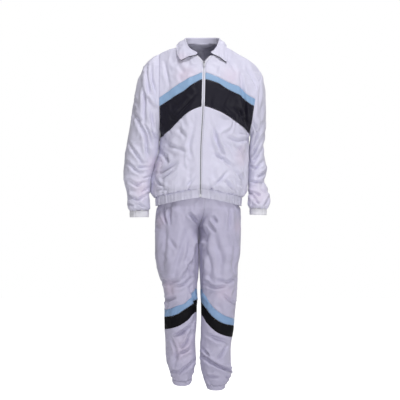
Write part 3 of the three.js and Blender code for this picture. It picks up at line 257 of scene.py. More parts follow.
def newPiece(name, points, faces, finish, slot, smoothShade=True):
    mesh = bpy.data.meshes.new(name)
    mesh.from_pydata((np.asarray(points) * metres).tolist(), [], faces)
    mesh.validate()
    if smoothShade:
        mesh.polygons.foreach_set("use_smooth", [True] * len(mesh.polygons))
    piece = bpy.data.objects.new(name, mesh)
    bpy.context.scene.collection.objects.link(piece)
    mesh.materials.append(finish)
    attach(piece, "suit")
    return piece


def shellFaces(rows, cols, wrap):
    cells = cols if wrap else cols - 1
    inner, last, top = rows * cols, cols - 1, (rows - 1) * cols
    i, j = np.meshgrid(np.arange(rows - 1), np.arange(cells), indexing="ij")
    k = (j + 1) % cols
    a, b, c, d = i * cols + j, i * cols + k, (i + 1) * cols + k, (i + 1) * cols + j
    faces = [np.stack([a, b, c, d], -1).reshape(-1, 4), np.stack([a, d, c, b], -1).reshape(-1, 4) + inner]
    j, k = j[0], k[0]
    faces.append(np.stack([j, j + inner, k + inner, k], -1))
    faces.append(np.stack([top + j, top + k, top + k + inner, top + j + inner], -1))
    if not wrap:
        a = i[:, 0] * cols
        d = a + cols
        faces.append(np.stack([a, d, d + inner, a + inner], -1))
        faces.append(np.stack([a + last, a + last + inner, d + last + inner, d + last], -1))
    return np.concatenate(faces)


slots = {row["node"]: row["material_slot"] for row in frame["record"]["subparts"]}


def shellPiece(name, node, grid, normals, finish, wall, wrap=False, held="draped"):
    faces = shellFaces(grid.shape[0], grid.shape[1], wrap)
    cells = np.cross(np.diff(grid[:-1], axis=1), np.diff(grid[:, :-1], axis=0))
    if np.sum(cells * normals[:-1, :-1]) < 0:
        faces = faces[:, ::-1]
    points = np.concatenate([grid.reshape(-1, 3), (grid - normals * wall).reshape(-1, 3)])
    piece = newPiece(name, points, faces.tolist(), cloth[finish], slots[node])
    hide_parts(node)
    declareCut(grid, wrap, held)


def sidePieces(parts, side, breaks, shaped, turned):  # one shell for each stretch between seam rows
    for (name, node, finish, held), low, high in zip(parts, breaks, breaks[1:]):
        rows = slice(low, high + 1)
        shellPiece(name + side.capitalize(), f"{node}_{side}", shaped[rows], turned[rows], finish,
                   suit["wall"],
                   held=held)


def declareCut(grid, wrap, held):  # the cloth's flat size, measured on its own lines
    ring = looped(grid, 1) if wrap else grid
    width = runLength(ring, 1)[:, -1].max() * metres
    length = runLength(ring, 0)[-1].max() * metres
    cells = np.cross(np.diff(ring[:-1], axis=1), np.diff(ring[:, :-1], axis=0))


# Jacket body

body = columns(("left", "right", "front", "back"), [
    (40, -176, 250, 56, 50), (0, -175, 250, 70, 84), (-52, -174, 251, 84, 104), (-100, -174, 252, 106, 118),
    (-150, -174, 240, 122, 127), (-202, -174, 228, 131, 131), (-300, -173, 213, 139, 129),
    (-355, -172, 202, 141, 124), (-420, -173, 197, 142, 119), (-462, -182, 198, 143, 119),
    (-504, -196, 199, 146, 122), (-560, -208, 194, 150, 129), (-592, -210, 190, 152, 133),
    (-610, -202, 181, 143, 127), (-622, -192, 172, 133, 119), (-660, -189, 167, 129, 116),
])
zipX = columns(("x",), [(-54, 12.6), (-168, 10.5), (-244, 8.4), (-424, -0.8), (-660, -3)])["x"]
shoulderZ = {
    "left": columns(("z",), [(-66, 21), (-118, 7), (-160, -9), (-176, -18)])["z"],
    "right": columns(("z",), [
        (78, 21), (118, 8), (143, -8), (172, -25), (202, -43), (227, -62), (240, -77), (252, -94)])["z"],
}
chestSeam = columns(("blueTop", "blueBottom", "darkBottom"), [
    (-176, -203, -238, -375), (-122, -164, -203, -328), (-70, -130, -171, -277), (-25, -108, -139, -249),
    (10, -96, -124, -239), (66, -114, -139, -256), (117, -139, -169, -283), (170, -162, -196, -320),
    (190, -187, -217, -338), (204, -195, -226, -355), (228, -208, -239, -360),
])
armholes = {
    "left": {"tip": -17, "pit": -375, "front": 78, "back": 86},
    "right": {"tip": -92, "pit": -355, "front": 84, "back": 98},
}
neck = {"x": 6, "y": 3, "half": 72, "front": 77, "back": 66, "side": 21, "frontSlope": 0.506,
        "backSlope": 0.1}
jacket = {
    "arch": 34, "archPower": 1.3, "archFade": 200, "zipSpread": 28, "tape": 7, "zipGap": 1.6, "crown": 2.3,
    "lapTop": 2.2, "lapBottom": 3.6, "apart": 0.15, "edgeGap": 0.02, "leastReach": 20, "columns": 71,
}
hugging = {  # how far body and sleeve swell towards each other
    "left": columns(("body", "sleeve"), [
        (-370, 0, 0), (-398, 4, 4), (-412, 5.5, 5), (-462, 5, 5), (-512, 5, 5), (-564, 4.5, 6.5),
        (-590, 3.5, 5.5), (-606, 0, 0),
    ]),
    "right": columns(("body", "sleeve"), [
        (-360, 0, 0), (-395, 4, 4), (-412, 4, 4), (-462, 1, 1), (-512, 0.5, 0.5), (-564, 4, 4),
        (-585, 4, 5.5), (-606, 0, 0),
    ]),
}


def neckEdge(x, face):
    across = np.minimum(np.abs(x - neck["x"]) / neck["half"], 1)
    reach = -neck["front"] if face == "front" else neck["back"]
    y = neck["y"] + reach * np.sqrt(1 - across ** 2)
    slope = neck["frontSlope"] if face == "front" else neck["backSlope"]
    return y, neck["side"] + slope * (y - neck["y"])


def frontEdge(side, z):
    opened = np.maximum(z - suit["zipTop"], 0) / (suit["collarStart"] - suit["zipTop"])
    return zipX(z) + sides[side] * jacket["zipSpread"] * np.minimum(opened, 1) ** 1.2


def panelEdge(side, z):
    slant = 1 + 0.35 * smooth(suit["zipTop"] - 10, suit["zipTop"] + 10, z)
    return frontEdge(side, z) + sides[side] * (jacket["zipGap"] + jacket["tape"] * slant)


def topEdge(x, side, face):
    y, z = neckEdge(x, face)
    onNeck = np.abs(x - neck["x"]) < neck["half"]
    return np.where(onNeck, y, neck["y"]), np.where(onNeck, z, shoulderZ[side](x))


def bodyPoint(side, face, x, z):
    middle, facing, hole = zipX(z), faceWays[face], armholes[side]
    across = np.minimum(np.abs((x - middle) / (body[side](z) - middle)), 1)
    arch = jacket["arch"] * (1 - across ** jacket["archPower"]) if face == "front" else 0
    level = z - arch * smooth(suit["bandSeam"] + jacket["arch"] + jacket["archFade"], suit["bandSeam"], z)
    t = (z - (hole["tip"] + hole["pit"]) / 2) / ((hole["tip"] - hole["pit"]) / 2)
    half = hole[face] * np.sqrt(np.maximum(1 - t * t, 0)) * across ** 2
    power = 2 - 0.8 * np.sqrt(half / hole[face])
    crown = (1 - across ** jacket["crown"]) ** (1 / power)
    reach = half + np.maximum(body[face](level) - half, jacket["leastReach"]) * crown
    topY, topZ = topEdge(x, side, face)
    radius = mix(30, 112, smooth(30, 150, np.abs(x - neck["x"])))
    below = np.clip((topZ - z) / radius, 0, 1)
    y = topY + (neck["y"] + facing * reach - topY) * np.sqrt(1 - (1 - below) ** 2)
    return stack(x, y + facing * jacket["apart"], z)


def frontColumn(side, share, z):
    lap = mix(jacket["lapTop"], jacket["lapBottom"], smooth(-236, -262, z)) * smooth(-50, -66, z)
    inner = panelEdge(side, np.minimum(z, suit["collarStart"])) - sides[side] * lap
    return mix(inner, body[side](z) - sides[side] * jacket["edgeGap"], np.sin(share * math.pi / 2))


def backColumn(side, share, z):
    return mix(zipX(z), body[side](z) - sides[side] * jacket["edgeGap"], np.sin(share * math.pi / 2))


def meetHeight(column, line, share):
    z = np.full(np.shape(share), -200.0)
    for _ in range(24):
        z = mix(z, line(column(z)), 0.7)
    return z


def hemHeight(share, base):
    return base + jacket["arch"] * (1 - np.sin(share * math.pi / 2) ** jacket["archPower"])


def spread(lines, counts, crowds):  # rows between seam lines; each line is a height for every column
    rows = []
    for low, high, count, crowd in zip(lines, lines[1:], counts, crowds):
        t = np.linspace(0, 1, count + 1)
        if crowd == "top":
            t = np.sin(t * math.pi / 2)
        elif crowd == "both":
            t = (1 - np.cos(t * math.pi)) / 2
        rows += [mix(low, high, step) for step in t[(1 if rows else 0):]]
    return np.array(rows)


def frontGrid(side):
    share = np.linspace(0, 1, jacket["columns"])
    column = lambda z: frontColumn(side, share, z)
    seams = [meetHeight(column, chestSeam[key], share) for key in ("darkBottom", "blueBottom", "blueTop")]
    top = meetHeight(column, lambda x: topEdge(x, side, "front")[1], share)
    lines = [hemHeight(share, suit["bandBottom"]), hemHeight(share, suit["bandSeam"]), *seams, top]
    counts = [10, 64, 32, 10, 46]
    z = spread(lines, counts, ["none", "none", "none", "none", "top"])
    grid = bodyPoint(side, "front", frontColumn(side, share[None, :], z), z)
    return grid, share, np.cumsum([0] + counts)


def backGrid():
    share = np.linspace(0, 1, jacket["columns"])
    flat, halves, counts = np.zeros(len(share)), [], [10, 70, 96]
    middle = (armholes["left"]["pit"] + armholes["right"]["pit"]) / 2
    for side in sides:
        column = lambda z: backColumn(side, share, z)
        top = meetHeight(column, lambda x: topEdge(x, side, "back")[1], share)
        lines = [flat + suit["bandBottom"], flat + suit["bandSeam"],
                 mix(middle, armholes[side]["pit"], share), top]
        z = spread(lines, counts, ["none", "none", "both"])
        halves.append(bodyPoint(side, "back", backColumn(side, share[None, :], z), z))
    grid = np.concatenate([halves[0][:, ::-1], halves[1][:, 1:]], axis=1)
    return grid, np.linspace(-1, 1, grid.shape[1]), np.cumsum([0] + counts)


seamLook = {
    "groove": 1.0, "width": 2.4, "pucker": 0.55, "puckerPitch": 12, "puckerReach": 9, "side": 0.8, "top": 0.6,
}


def seamRelief(grid, rowsAt):  # the sewn line lies a little low, with small puckers beside it
    up, around = runLength(grid, 0), runLength(grid, 1)
    total = np.zeros(up.shape)
    for row in rowsAt:
        away = np.abs(up - up[row])
        total -= seamLook["groove"] * bump(away / seamLook["width"])
        wave = np.sin(2 * math.pi * around / seamLook["puckerPitch"] + 1.7 * np.sin(around / 41 + row))
        total += seamLook["pucker"] * wave * np.exp(-away / seamLook["puckerReach"]) * (1 - bump(away / 3))
    return total


def sideSeam(grid, atStart=False):  # the same, along the first or last column
    around = runLength(grid, 1)
    away = around if atStart else around[:, -1:] - around
    return -seamLook["groove"] * bump(away / seamLook["width"])


jacketCreases = {
    "front": [
        (6, 7, 168, -108, 172, -160, 178, -215), (5, 8, 184, -228, 193, -294),
        (3, 9, -105, -273, -60, -228, -4, -176), (5.5, 8, -172, -516, -140, -500, -105, -479),
        (4.5, 7, -156, -532, -128, -515, -105, -496), (4, 7, -63, -573, -40, -552, -20, -525),
        (4, 7, -171, -580, -135, -584), (4.5, 8, 50, -328, 74, -382, 97, -437),
        (5, 8, 65, -437, 96, -462, 124, -487), (4, 7, 24, -554, 44, -588, 71, -597),
        (4, 7, 59, -567, 101, -525), (5, 7, 107, -545, 134, -586),
        (3, 10, -150, -395, -110, -420, -60, -428), (4, 8, -165, -440, -140, -470),
        (4, 9, 150, -400, 176, -440, 190, -490), (3.5, 9, 120, -360, 160, -385, 190, -380),
        (2.5, 9, -95, -60, -60, -90, -30, -92), (3.5, 9, -150, -60, -135, -130), (3, 9, 110, -40, 140, -90),
        (4, 8, 200, -80, 222, -150), (2, 8, 70, -70, 60, -100), (2.5, 11, -30, -300, -45, -400, -38, -470),
        (2, 9, 30, -270, 36, -330), (4, 8, 140, -500, 170, -545, 180, -590), (4, 7, -185, -545, -150, -570),
        (2.5, 9, -100, -330, -70, -360), (3, 9, 150, -250, 190, -300),
    ],
    "back": [
        (6, 9, -160, -290, -110, -350, -40, -410), (6, 9, 175, -280, 120, -350, 55, -400),
        (5, 8, -165, -350, -120, -400, -70, -440), (5, 8, 185, -340, 140, -400, 90, -440),
        (5, 8, -130, -570, -95, -530, -60, -490), (5, 8, 150, -560, 110, -530, 70, -500),
        (4.5, 8, -20, -590, -8, -545, 12, -500), (4, 7, -60, -590, -45, -540), (4, 7, 50, -590, 60, -545),
        (4, 12, -120, -120, -60, -150, 20, -145, 110, -130), (3.5, 12, -100, -200, -20, -225, 80, -210),
        (4, 9, -150, -180, -135, -260), (4, 9, 190, -180, 170, -260), (4, 8, -180, -480, -120, -470),
        (4, 8, 180, -470, 120, -480), (3, 10, -90, -40, -40, -70, 50, -70, 120, -45),
    ],
}


bodyLook = {
    "edgeFrom": 0.86, "placketLeast": 0.1, "placketRise": (0.025, 0.17), "topFade": 26, "topLeast": 0.25,
    "yokeCalm": 0.4, "yokeRise": (-250, -190), "pleats": (5.6, 14, 30), "band": (5.4, 9, 20),
    "bandShare": 0.75,
    "dimple": 2.2, "dimplePitch": 37, "dimpleAt": 18, "dimpleWidth": 3.2, "swellFrom": 0.8, "bandCalm": 0.85,
    "seatDip": 3.6, "seatDipWidth": 3.4, "seatPuff": 3.6, "seatRise": (2, 14), "seatFall": (58, 20),
    "seatSeam": 1.5, "seatSeamWidth": 1.6,
}


def bodyRelief(grid, share, face, hemRow, seamRows):
    look, x, z = bodyLook, grid[..., 0], grid[..., 2]
    up, around = runLength(grid, 0), runLength(grid, 1)
    edge = 1 - smooth(look["edgeFrom"], 1, np.abs(share))[None, :]
    placket = (mix(look["placketLeast"], 1, smooth(*look["placketRise"], share))[None, :]
               if face == "front" else 1)
    calm = 1 - look["yokeCalm"] * smooth(*look["yokeRise"], z)
    free = edge * placket * mix(look["topLeast"], 1, smooth(0, look["topFade"], up[-1:] - up)) * calm
    above = up - up[hemRow]
    pleats = gathered(around, np.abs(above), seeds[face], *look["pleats"])
    dimples = bump((around % look["dimplePitch"] - look["dimpleAt"]) / look["dimpleWidth"])
    band = gathered(around, np.zeros(z.shape), seeds["hemBand"], *look["band"]) - look["dimple"] * dimples
    pleats = np.where(above < 0, mix(pleats, band, look["bandShare"]), pleats) * np.sqrt(edge) * placket
    swell = smooth(look["swellFrom"], 1, np.abs(share))[None, :]
    swell = swell * np.where(x < 0, hugging["left"]["body"](z), hugging["right"]["body"](z))
    seat = (look["seatPuff"] * smooth(*look["seatRise"], above)  # over the hem band
            * smooth(*look["seatFall"], above))
    seat -= (look["seatDip"] * bump(above / look["seatDipWidth"])
             + look["seatSeam"] * bump(above / look["seatSeamWidth"]))
    inBand = smooth(4, -4, above)
    lie = ((crumpled(grid) - creased(jacketCreases[face], *swayed(grid)))
           * free * (1 - look["bandCalm"] * inBand))
    return lie + pleats + swell + seat * np.sqrt(edge) * placket + seamRelief(grid, seamRows)


cloth = {}
stitchLines = []  # paths of sewing thread, with the cloth's outward way at each point


def addStitch(points, normals, lift=0.25):
    stitchLines.append((points + normals * lift, normals))


def dressFront(side):
    grid, share, breaks = frontGrid(side)
    normals = meetAtSides(gridNormals(grid, sides[side]), [-1])
    relief = bodyRelief(grid, share, "front", breaks[1], breaks[1:5]) + sideSeam(grid) * seamLook["side"]
    relief += seamRelief(grid, [len(grid) - 1]) * seamLook["top"]
    shaped, turned = shapedBy(grid, normals, relief, sides[side])
    sidePieces([("hemBand", "hem_band", "jacket", "gathered"),
                ("frontLower", "front_lower", "jacket", "gathered"),
                ("chestPanel", "chest_panel", "dark", "draped"),
                ("chestStripe", "chest_stripe", "blue", "draped"),
                ("yoke", "yoke", "jacket", "draped")], side, breaks, shaped, turned)
    for row, away in ((breaks[1], -2.2), (breaks[1], 2.6), (breaks[2], 2.2), (breaks[3], -2),
                      (breaks[4], 2.2), (0, 7)):
        followRow(shaped, turned, row, away)
    for rows in (slice(0, breaks[2]), slice(breaks[4], None)):  # none shows on the dark panel
        for away in (3.2, 9):
            followColumn(shaped[rows], turned[rows], 0, away)
    followColumn(shaped[breaks[2]:], turned[breaks[2]:], -1, 3)
    return shaped, turned


def followRow(grid, normals, row, away):  # a sewn line at a distance from a row of the grid
    runs, lanes = runLength(grid, 0), np.arange(grid.shape[1])
    place = np.array([np.interp(runs[row, j] + away, runs[:, j], np.arange(len(runs))) for j in lanes])
    low = np.minimum(place.astype(int), len(runs) - 2)
    share = (place - low)[:, None]
    addStitch(mix(grid[low, lanes], grid[low + 1, lanes], share),
              mix(normals[low, lanes], normals[low + 1, lanes], share))


def followColumn(grid, normals, column, away):
    followRow(grid.transpose(1, 0, 2), normals.transpose(1, 0, 2), column, away if column == 0 else -away)


def dressBack():
    grid, share, breaks = backGrid()
    normals = meetAtSides(gridNormals(grid, -1), [0, -1])
    relief = bodyRelief(grid, share, "back", breaks[1], [breaks[1]])
    relief += seamRelief(grid, [len(grid) - 1]) * seamLook["top"]
    relief += (sideSeam(grid) + sideSeam(grid, True)) * seamLook["side"]
    shaped, turned = shapedBy(grid, normals, relief, -1)
    band, rest = slice(0, breaks[1] + 1), slice(breaks[1], None)
    shellPiece("hemBandBack", "hem_band_back", shaped[band], turned[band], "jacket", suit["wall"],
               held="gathered")
    shellPiece("jacketBack", "back_panel", shaped[rest], turned[rest], "jacket", suit["wall"], held="hung")
    for row, away in ((breaks[1], -2.2), (breaks[1], 2.6), (0, 7), (len(grid) - 1, -3)):
        followRow(shaped, turned, row, away)


# Sleeves

sleeveRows = {  # outer x, z; inner x, z; middle depth; half depths in front and behind
    "left": [
        (-206, -34, -175, -380, 2, 84, 90), (-238, -64, -178, -386, 0, 88, 90),
        (-261, -116, -180, -395, -2, 88, 88), (-276, -188, -182, -407, -4, 84, 84),
        (-289, -268, -184, -424, -5, 78, 78), (-301, -340, -188, -446, -5, 74, 74),
        (-315, -412, -196, -474, -5, 68, 70), (-322, -468, -207, -508, -6, 63, 64),
        (-327, -520, -215, -540, -8, 60, 60), (-326, -558, -219, -566, -10, 57, 57),
        (-315, -592, -219, -594, -12, 51, 52), (-308, -622, -216, -620, -14, 52, 52),
        (-311, -646, -213, -645, -15, 53, 52), (-307, -664, -214, -663, -15, 51, 49),
        (-298, -674, -220, -673, -15, 41, 41),
    ],
    "right": [
        (258, -112, 207, -363, 11, 86, 96), (266, -150, 209, -374, 17, 84, 90),
        (270, -212, 208, -390, 25, 80, 84), (272, -280, 205, -411, 37, 74, 76),
        (270, -344, 202, -436, 48, 66, 68), (267, -402, 199, -464, 56, 59, 61),
        (270, -456, 196, -494, 60, 56, 57), (277, -508, 197, -526, 56, 54, 55),
        (267, -548, 200, -553, 45, 49, 50), (283, -582, 203, -576, 33, 51, 51),
        (290, -612, 200, -604, 22, 51, 50), (288, -640, 197, -634, 12, 51, 49),
        (283, -657, 198, -653, 6, 48, 47), (275, -665, 204, -663, 4, 39, 39),
    ],
}
cuffRows = {"left": (-298, -674, -220, -673, -15, 39, 39), "right": (275, -665, 205, -663, 4, 37, 37)}
sleeve = {
    "around": 112, "rows": 160, "power": 2.2, "cuffLength": 28, "cuffRows": 10, "cuffStart": 0.7,
    "crumple": 0.62, "press": 0.85, "backPress": 0.8, "calm": 0.8, "pleats": (4.2, 14, 26),
    "easing": (0.8, 22, 18),
    "otherPart": 400,  # where its crumple is read, away from the body's
}

sleeveCreases = {
    "left": [
        (7, 8, -260, -300, -237, -361, -208, -450), (6, 7, -234, -328, -202, -407, -191, -420),
        (6, 8, -205, -352, -180, -372), (4, 7, -227, -62, -223, -176),
        (4.5, 7, -208, -67, -207, -130, -185, -202), (-4.5, 8, -237, -178, -205, -215, -172, -252),
        (5, 7, -245, -168, -235, -227, -235, -294), (5, 7, -265, -494, -236, -489, -212, -491),
        (5, 6, -241, -542, -220, -533), (5, 6, -244, -596, -228, -584, -212, -567),
        (6, 7, -318, -575, -306, -600, -290, -622), (4, 5, -256, -643, -239, -659),
        (3.5, 8, -285, -250, -262, -290, -240, -300), (4.5, 8, -300, -390, -270, -430, -240, -470),
        (4, 8, -315, -470, -280, -505, -250, -520), (4.5, 7, -300, -555, -270, -570, -240, -560),
        (4.5, 6, -295, -610, -262, -625, -235, -615), (4, 9, -255, -110, -265, -200),
        (4, 7, -205, -260, -200, -330), (3.5, 5, -305, -640, -280, -650),
    ],
    "right": [
        (6, 8, 263, -302, 251, -336, 219, -391, 199, -412), (5, 8, 263, -350, 230, -420, 199, -451),
        (4, 7, 204, -487, 227, -494), (7, 8, 279, -504, 262, -520, 238, -538),
        (5.5, 6, 262, -563, 240, -560, 197, -557), (6, 6, 193, -588, 210, -600, 225, -615),
        (5, 5, 218, -597, 242, -609), (4, 5, 231, -632, 244, -643), (5, 6, 286, -620, 273, -647),
        (3.5, 8, 240, -150, 246, -250), (3.5, 8, 262, -190, 256, -280), (4, 7, 215, -300, 235, -350),
        (4, 7, 262, -400, 240, -445, 215, -470), (4, 7, 258, -470, 225, -500),
        (3.5, 5, 255, -590, 275, -600),
    ],
}


def armholeRim(side, angle):  # down the front edge and up the back, as one ring
    points = []
    for face, part in (("front", angle <= math.pi), ("back", angle > math.pi)):
        column = ((lambda z: frontColumn(side, 1.0, z)) if face == "front"
                  else (lambda z: backColumn(side, 1.0, z)))
        top = float(meetHeight(column, lambda x: topEdge(x, side, face)[1], 0.0))
        pit = armholes[side]["pit"]
        z = (top + pit) / 2 + (top - pit) / 2 * np.cos(angle[part])
        ring = bodyPoint(side, face, column(z), z)
        ring[:, 0] += sides[side] * 0.2
        points.append(ring)
    return np.concatenate(points)


def sleeveRing(row, angle):
    xo, zo, xi, zi, y, front, back = row
    power = lambda value: np.sign(value) * np.abs(value) ** (2 / sleeve["power"])
    along, deep = power(np.cos(angle)), power(np.sin(angle))
    depth = np.where(deep > 0, front, back)
    return stack(mix(xi, xo, (1 + along) / 2), y - deep * depth, mix(zi, zo, (1 + along) / 2))


def throughRings(rings, count):  # a smooth run through control rings, evenly spaced
    rings = np.array(rings)
    gaps = np.linalg.norm(np.diff(rings, axis=0), axis=-1).mean(axis=1)
    place = np.concatenate([[0], np.cumsum(gaps)])
    slope = np.gradient(rings, place, axis=0)
    target = np.linspace(0, place[-1], count)
    i = np.clip(np.searchsorted(place, target, side="right") - 1, 0, len(place) - 2)
    gap = (place[i + 1] - place[i])[:, None, None]
    t = (target - place[i])[:, None, None] / gap
    return hermite(t, rings[i], rings[i + 1], gap * slope[i], gap * slope[i + 1])


def faceShares(angle):
    front = np.maximum(np.sin(angle), 0) ** 0.5
    back = np.maximum(-np.sin(angle), 0) ** 0.5
    return front, back


def dressSleeve(side):
    angle = np.arange(sleeve["around"]) / sleeve["around"] * 2 * math.pi
    rings = [armholeRim(side, angle)] + [sleeveRing(row, angle) for row in sleeveRows[side]]
    grid = throughRings(rings, sleeve["rows"])
    normals = gridNormals(grid, sides[side], wrap=True)
    up, around = tubeRuns(grid)
    toEnd, z = up[-1:] - up, grid[..., 2]
    front, back = faceShares(angle)
    bentX, bentZ = swayed(grid)
    pressed = creased(sleeveCreases[side], bentX, bentZ) * front
    behind = creased(sleeveCreases[side], bentX + sides[side] * 9, bentZ - 26) * back
    pressed += behind * sleeve["backPress"] * smooth(20, 100, up)
    free = smooth(0, 30, up) * (0.4 + 0.6 * smooth(0, 25, toEnd))
    nearBody = smooth(0.2, 0.9, -np.cos(angle))[None, :]
    free = free * (1 - sleeve["calm"] * nearBody * smooth(-330, -380, z) * smooth(-620, -580, z))
    relief = (crumpled(grid + sleeve["otherPart"]) * sleeve["crumple"] - pressed * sleeve["press"]) * free
    relief += gathered(around, toEnd, seeds["sleeve"] + (side == "right"), *sleeve["pleats"])
    relief += gathered(around, up, seeds["armhole"], *sleeve["easing"]) * smooth(0, 14, up)
    relief -= seamLook["groove"] * bump(up / seamLook["width"]) * 0.5
    relief += nearBody * hugging[side]["sleeve"](z)
    shaped, turned = shapedBy(grid, normals, relief, sides[side], wrap=True)
    shellPiece("sleeve" + side.capitalize(), f"sleeve_{side}", shaped, turned, "jacket", suit["wall"],
               wrap=True,
               held="hung")
    addStitch(looped(shaped[-3]), looped(turned[-3]))
    dressCuff(side, angle)


def dressTube(name, node, side, grid, kind, finish, wall):
    normals = gridNormals(grid, sides[side], wrap=True)
    shaped, turned = shapedBy(grid, normals, elasticRelief(grid, kind, side), sides[side], wrap=True)
    shellPiece(name + side.capitalize(), f"{node}_{side}", shaped, turned, finish, wall, wrap=True,
               held="gathered")
    return shaped, turned


def dressCuff(side, angle):
    rings = []
    for down in sleeve["cuffStart"] + np.linspace(0, sleeve["cuffLength"], sleeve["cuffRows"]):
        lowered = np.array(cuffRows[side], float)
        lowered[[1, 3]] -= down
        rings.append(sleeveRing(lowered, angle))
    dressTube("cuff", "cuff", side, np.array(rings), "cuff", "cuff", suit["bandWall"])


# Collar

collarRows = columns(("foldX", "foldY", "foldZ", "edgeX", "edgeY", "edgeZ"), [
    (-142, 45, -67, -13, 107, -86, -53), (-125, 61, -51, 6, 111, -66, -30), (-107, 71, -25, 28, 107, -34, 0),
    (-90, 76, 3, 46, 106, 3, 20), (-60, 66, 38, 50, 96, 60, 6), (-30, 41, 62, 51, 56, 95, -8),
    (0, 6, 70, 51, 6, 105, -12), (30, -30, 62, 51, -47, 95, -8), (60, -54, 38, 50, -86, 60, 5),
    (90, -64, 3, 46, -101, 3, 17), (107, -60, -24, 30, -103, -32, 2), (125, -49, -50, 8, -98, -62, -24),
    (155, -19, -73, -14, -82, -80, -47),
])
collar = {
    "stations": 150, "rows": (9, 6, 3, 3, 11, 11), "foldRadius": 3.2, "bulge": 5, "clear": 8, "endIn": 6,
    "endDown": 5,
    # the shows, hidden and gap sizes set the dark strip of painted shadow under the leaf's front ends
    "inset": 1.9, "wall": 2.2, "stitchIn": 5, "outside": 0.5, "shadowShows": 2.4, "shadowHidden": 7,
    "shadowGap": 0.3,
    "room": 0.6, "lifts": 40, "liftOut": 0.3, "liftUp": 0.4, "crumple": 0.5, "crumpleScale": 1.6,
}


def rounded(points, counts):  # a soft curve through the control points of every station
    p = np.array(points)
    p = np.concatenate([2 * p[:1] - p[1:2], p, 2 * p[-1:] - p[-2:-1]])
    out = []
    for k, count in enumerate(counts):
        p0, p1, p2, p3 = p[k:k + 4]
        d0, d1, d2 = (np.sqrt(np.linalg.norm(b - a, axis=-1))[:, None]
                      for a, b in ((p0, p1), (p1, p2), (p2, p3)))
        leave = ((p1 - p0) / d0 - (p2 - p0) / (d0 + d1) + (p2 - p1) / d1) * d1
        arrive = ((p2 - p1) / d1 - (p3 - p1) / (d1 + d2) + (p3 - p2) / d2) * d1
        out += [hermite(t, p1, p2, leave, arrive) for t in np.arange(count) / count]
    return np.array(out + [p[-2]])


def softened(grid, times):  # rounds a run of points, keeping both ends
    for _ in range(times):
        grid = np.concatenate([grid[:1], (grid[:-2] + 2 * grid[1:-1] + grid[2:]) / 4, grid[-1:]])
    return grid


def clearOfBody(points):  # lifts the fallen leaf off the shoulder and chest below it
    moved = points.reshape(-1, 3).copy()
    room = collar["clear"] * collar["room"]
    for _ in range(collar["lifts"]):
        for name in sides:
            for face, sign in faceWays.items():
                onSide = (moved[:, 0] < neck["x"]) == (name == "left")
                index = np.flatnonzero(onSide & ((moved[:, 1] < neck["y"]) == (face == "front")))
                x, y, z = moved[index].T
                topZ = topEdge(x, name, face)[1]
                surface = bodyPoint(name, face, x, np.minimum(z - room, topZ))[:, 1]
                covered = (np.abs(y) <= np.abs(surface) + room) & (z <= topZ + collar["clear"])
                moved[index[covered]] += [0, sign * collar["liftOut"], collar["liftUp"]]
    return moved.reshape(points.shape)


def hemmed(away, edge):  # a rolled edge, with its sewn line beside it
    return edge * bump(away / 3.5) - 0.7 * bump((away - collar["stitchIn"]) / 1.4)


def dressCollar():
    ends = []
    for side in ("right", "left"):
        reach = sides[side] * (panelEdge(side, suit["collarStart"]) - neck["x"])
        ends.append(180 - math.degrees(math.asin(reach / neck["half"])))
    angle = np.linspace(-ends[0], ends[1], collar["stations"])
    turn = np.radians(angle)
    outward = stack(-np.sin(turn), np.cos(turn), 0 * turn)
    x, inFront = neck["x"] - neck["half"] * np.sin(turn), np.abs(angle) > 90
    (frontY, frontZ), (backY, backZ) = neckEdge(x, "front"), neckEdge(x, "back")
    base = stack(x, np.where(inFront, frontY, backY), np.where(inFront, frontZ, backZ) + 0.9)
    base = base - outward * (collar["inset"] * smooth(24, 8, np.abs(np.abs(angle) - 98)))[:, None]
    fold, leaf = (stack(*(collarRows[part + axis](angle) for axis in "XYZ")) for part in ("fold", "edge"))
    ending = smooth(24, 0, np.minimum(angle + ends[0], ends[1] - angle))
    fold = fold + stack(np.sign(angle) * collar["endIn"] * ending, 0, -collar["endDown"] * ending)
    radius, up = collar["foldRadius"], np.array([0, 0, 1.0])
    over = fold + outward * radius * 2 - up * 1.5
    middle = (over + leaf) / 2 + (outward + up) * collar["bulge"] * 0.6
    crest = fold + outward * radius + up * radius * 0.8
    run = rounded([base, mix(base, fold, 0.6), fold, crest, over, middle, leaf], collar["rows"])
    fallen = sum(collar["rows"][:3])
    run[fallen:] = softened(clearOfBody(run[fallen:]), 2)
    grid = softened(run.transpose(1, 0, 2), 2)  # stations along, leaf across
    outside = 1 if gridNormals(grid, 1)[len(grid) // 2, -4, 1] > 0 else -1
    across, along = runLength(grid, 1), runLength(grid, 0)
    leafShare = smooth(0.4, 0.7, across / across[:, -1:])
    relief = collar["crumple"] * crumpled(grid * collar["crumpleScale"]) * leafShare
    relief += (hemmed(across[:, -1:] - across, 1.3)
               + hemmed(np.minimum(along, along[-1:] - along), 0.6) * leafShare)
    shaped, turned = shapedBy(grid, gridNormals(grid, outside), relief, outside)
    surface = shaped + turned * collar["outside"]
    shellPiece("collarCloth", "collar", surface, turned, "jacket", collar["wall"], held="folded")
    followColumn(surface[4:-4], turned[4:-4], -1, collar["stitchIn"])
    surface, turned = surface[:, fallen:], turned[:, fallen:]
    for row, away in ((0, collar["stitchIn"]), (len(surface) - 1, -collar["stitchIn"])):
        followRow(surface, turned, row, away)
    # painted shadow: a dark strip under the leaf's front ends stands in for the shade below its edge
    dressPaintedShadow(surface[:, 5:], turned[:, 5:])


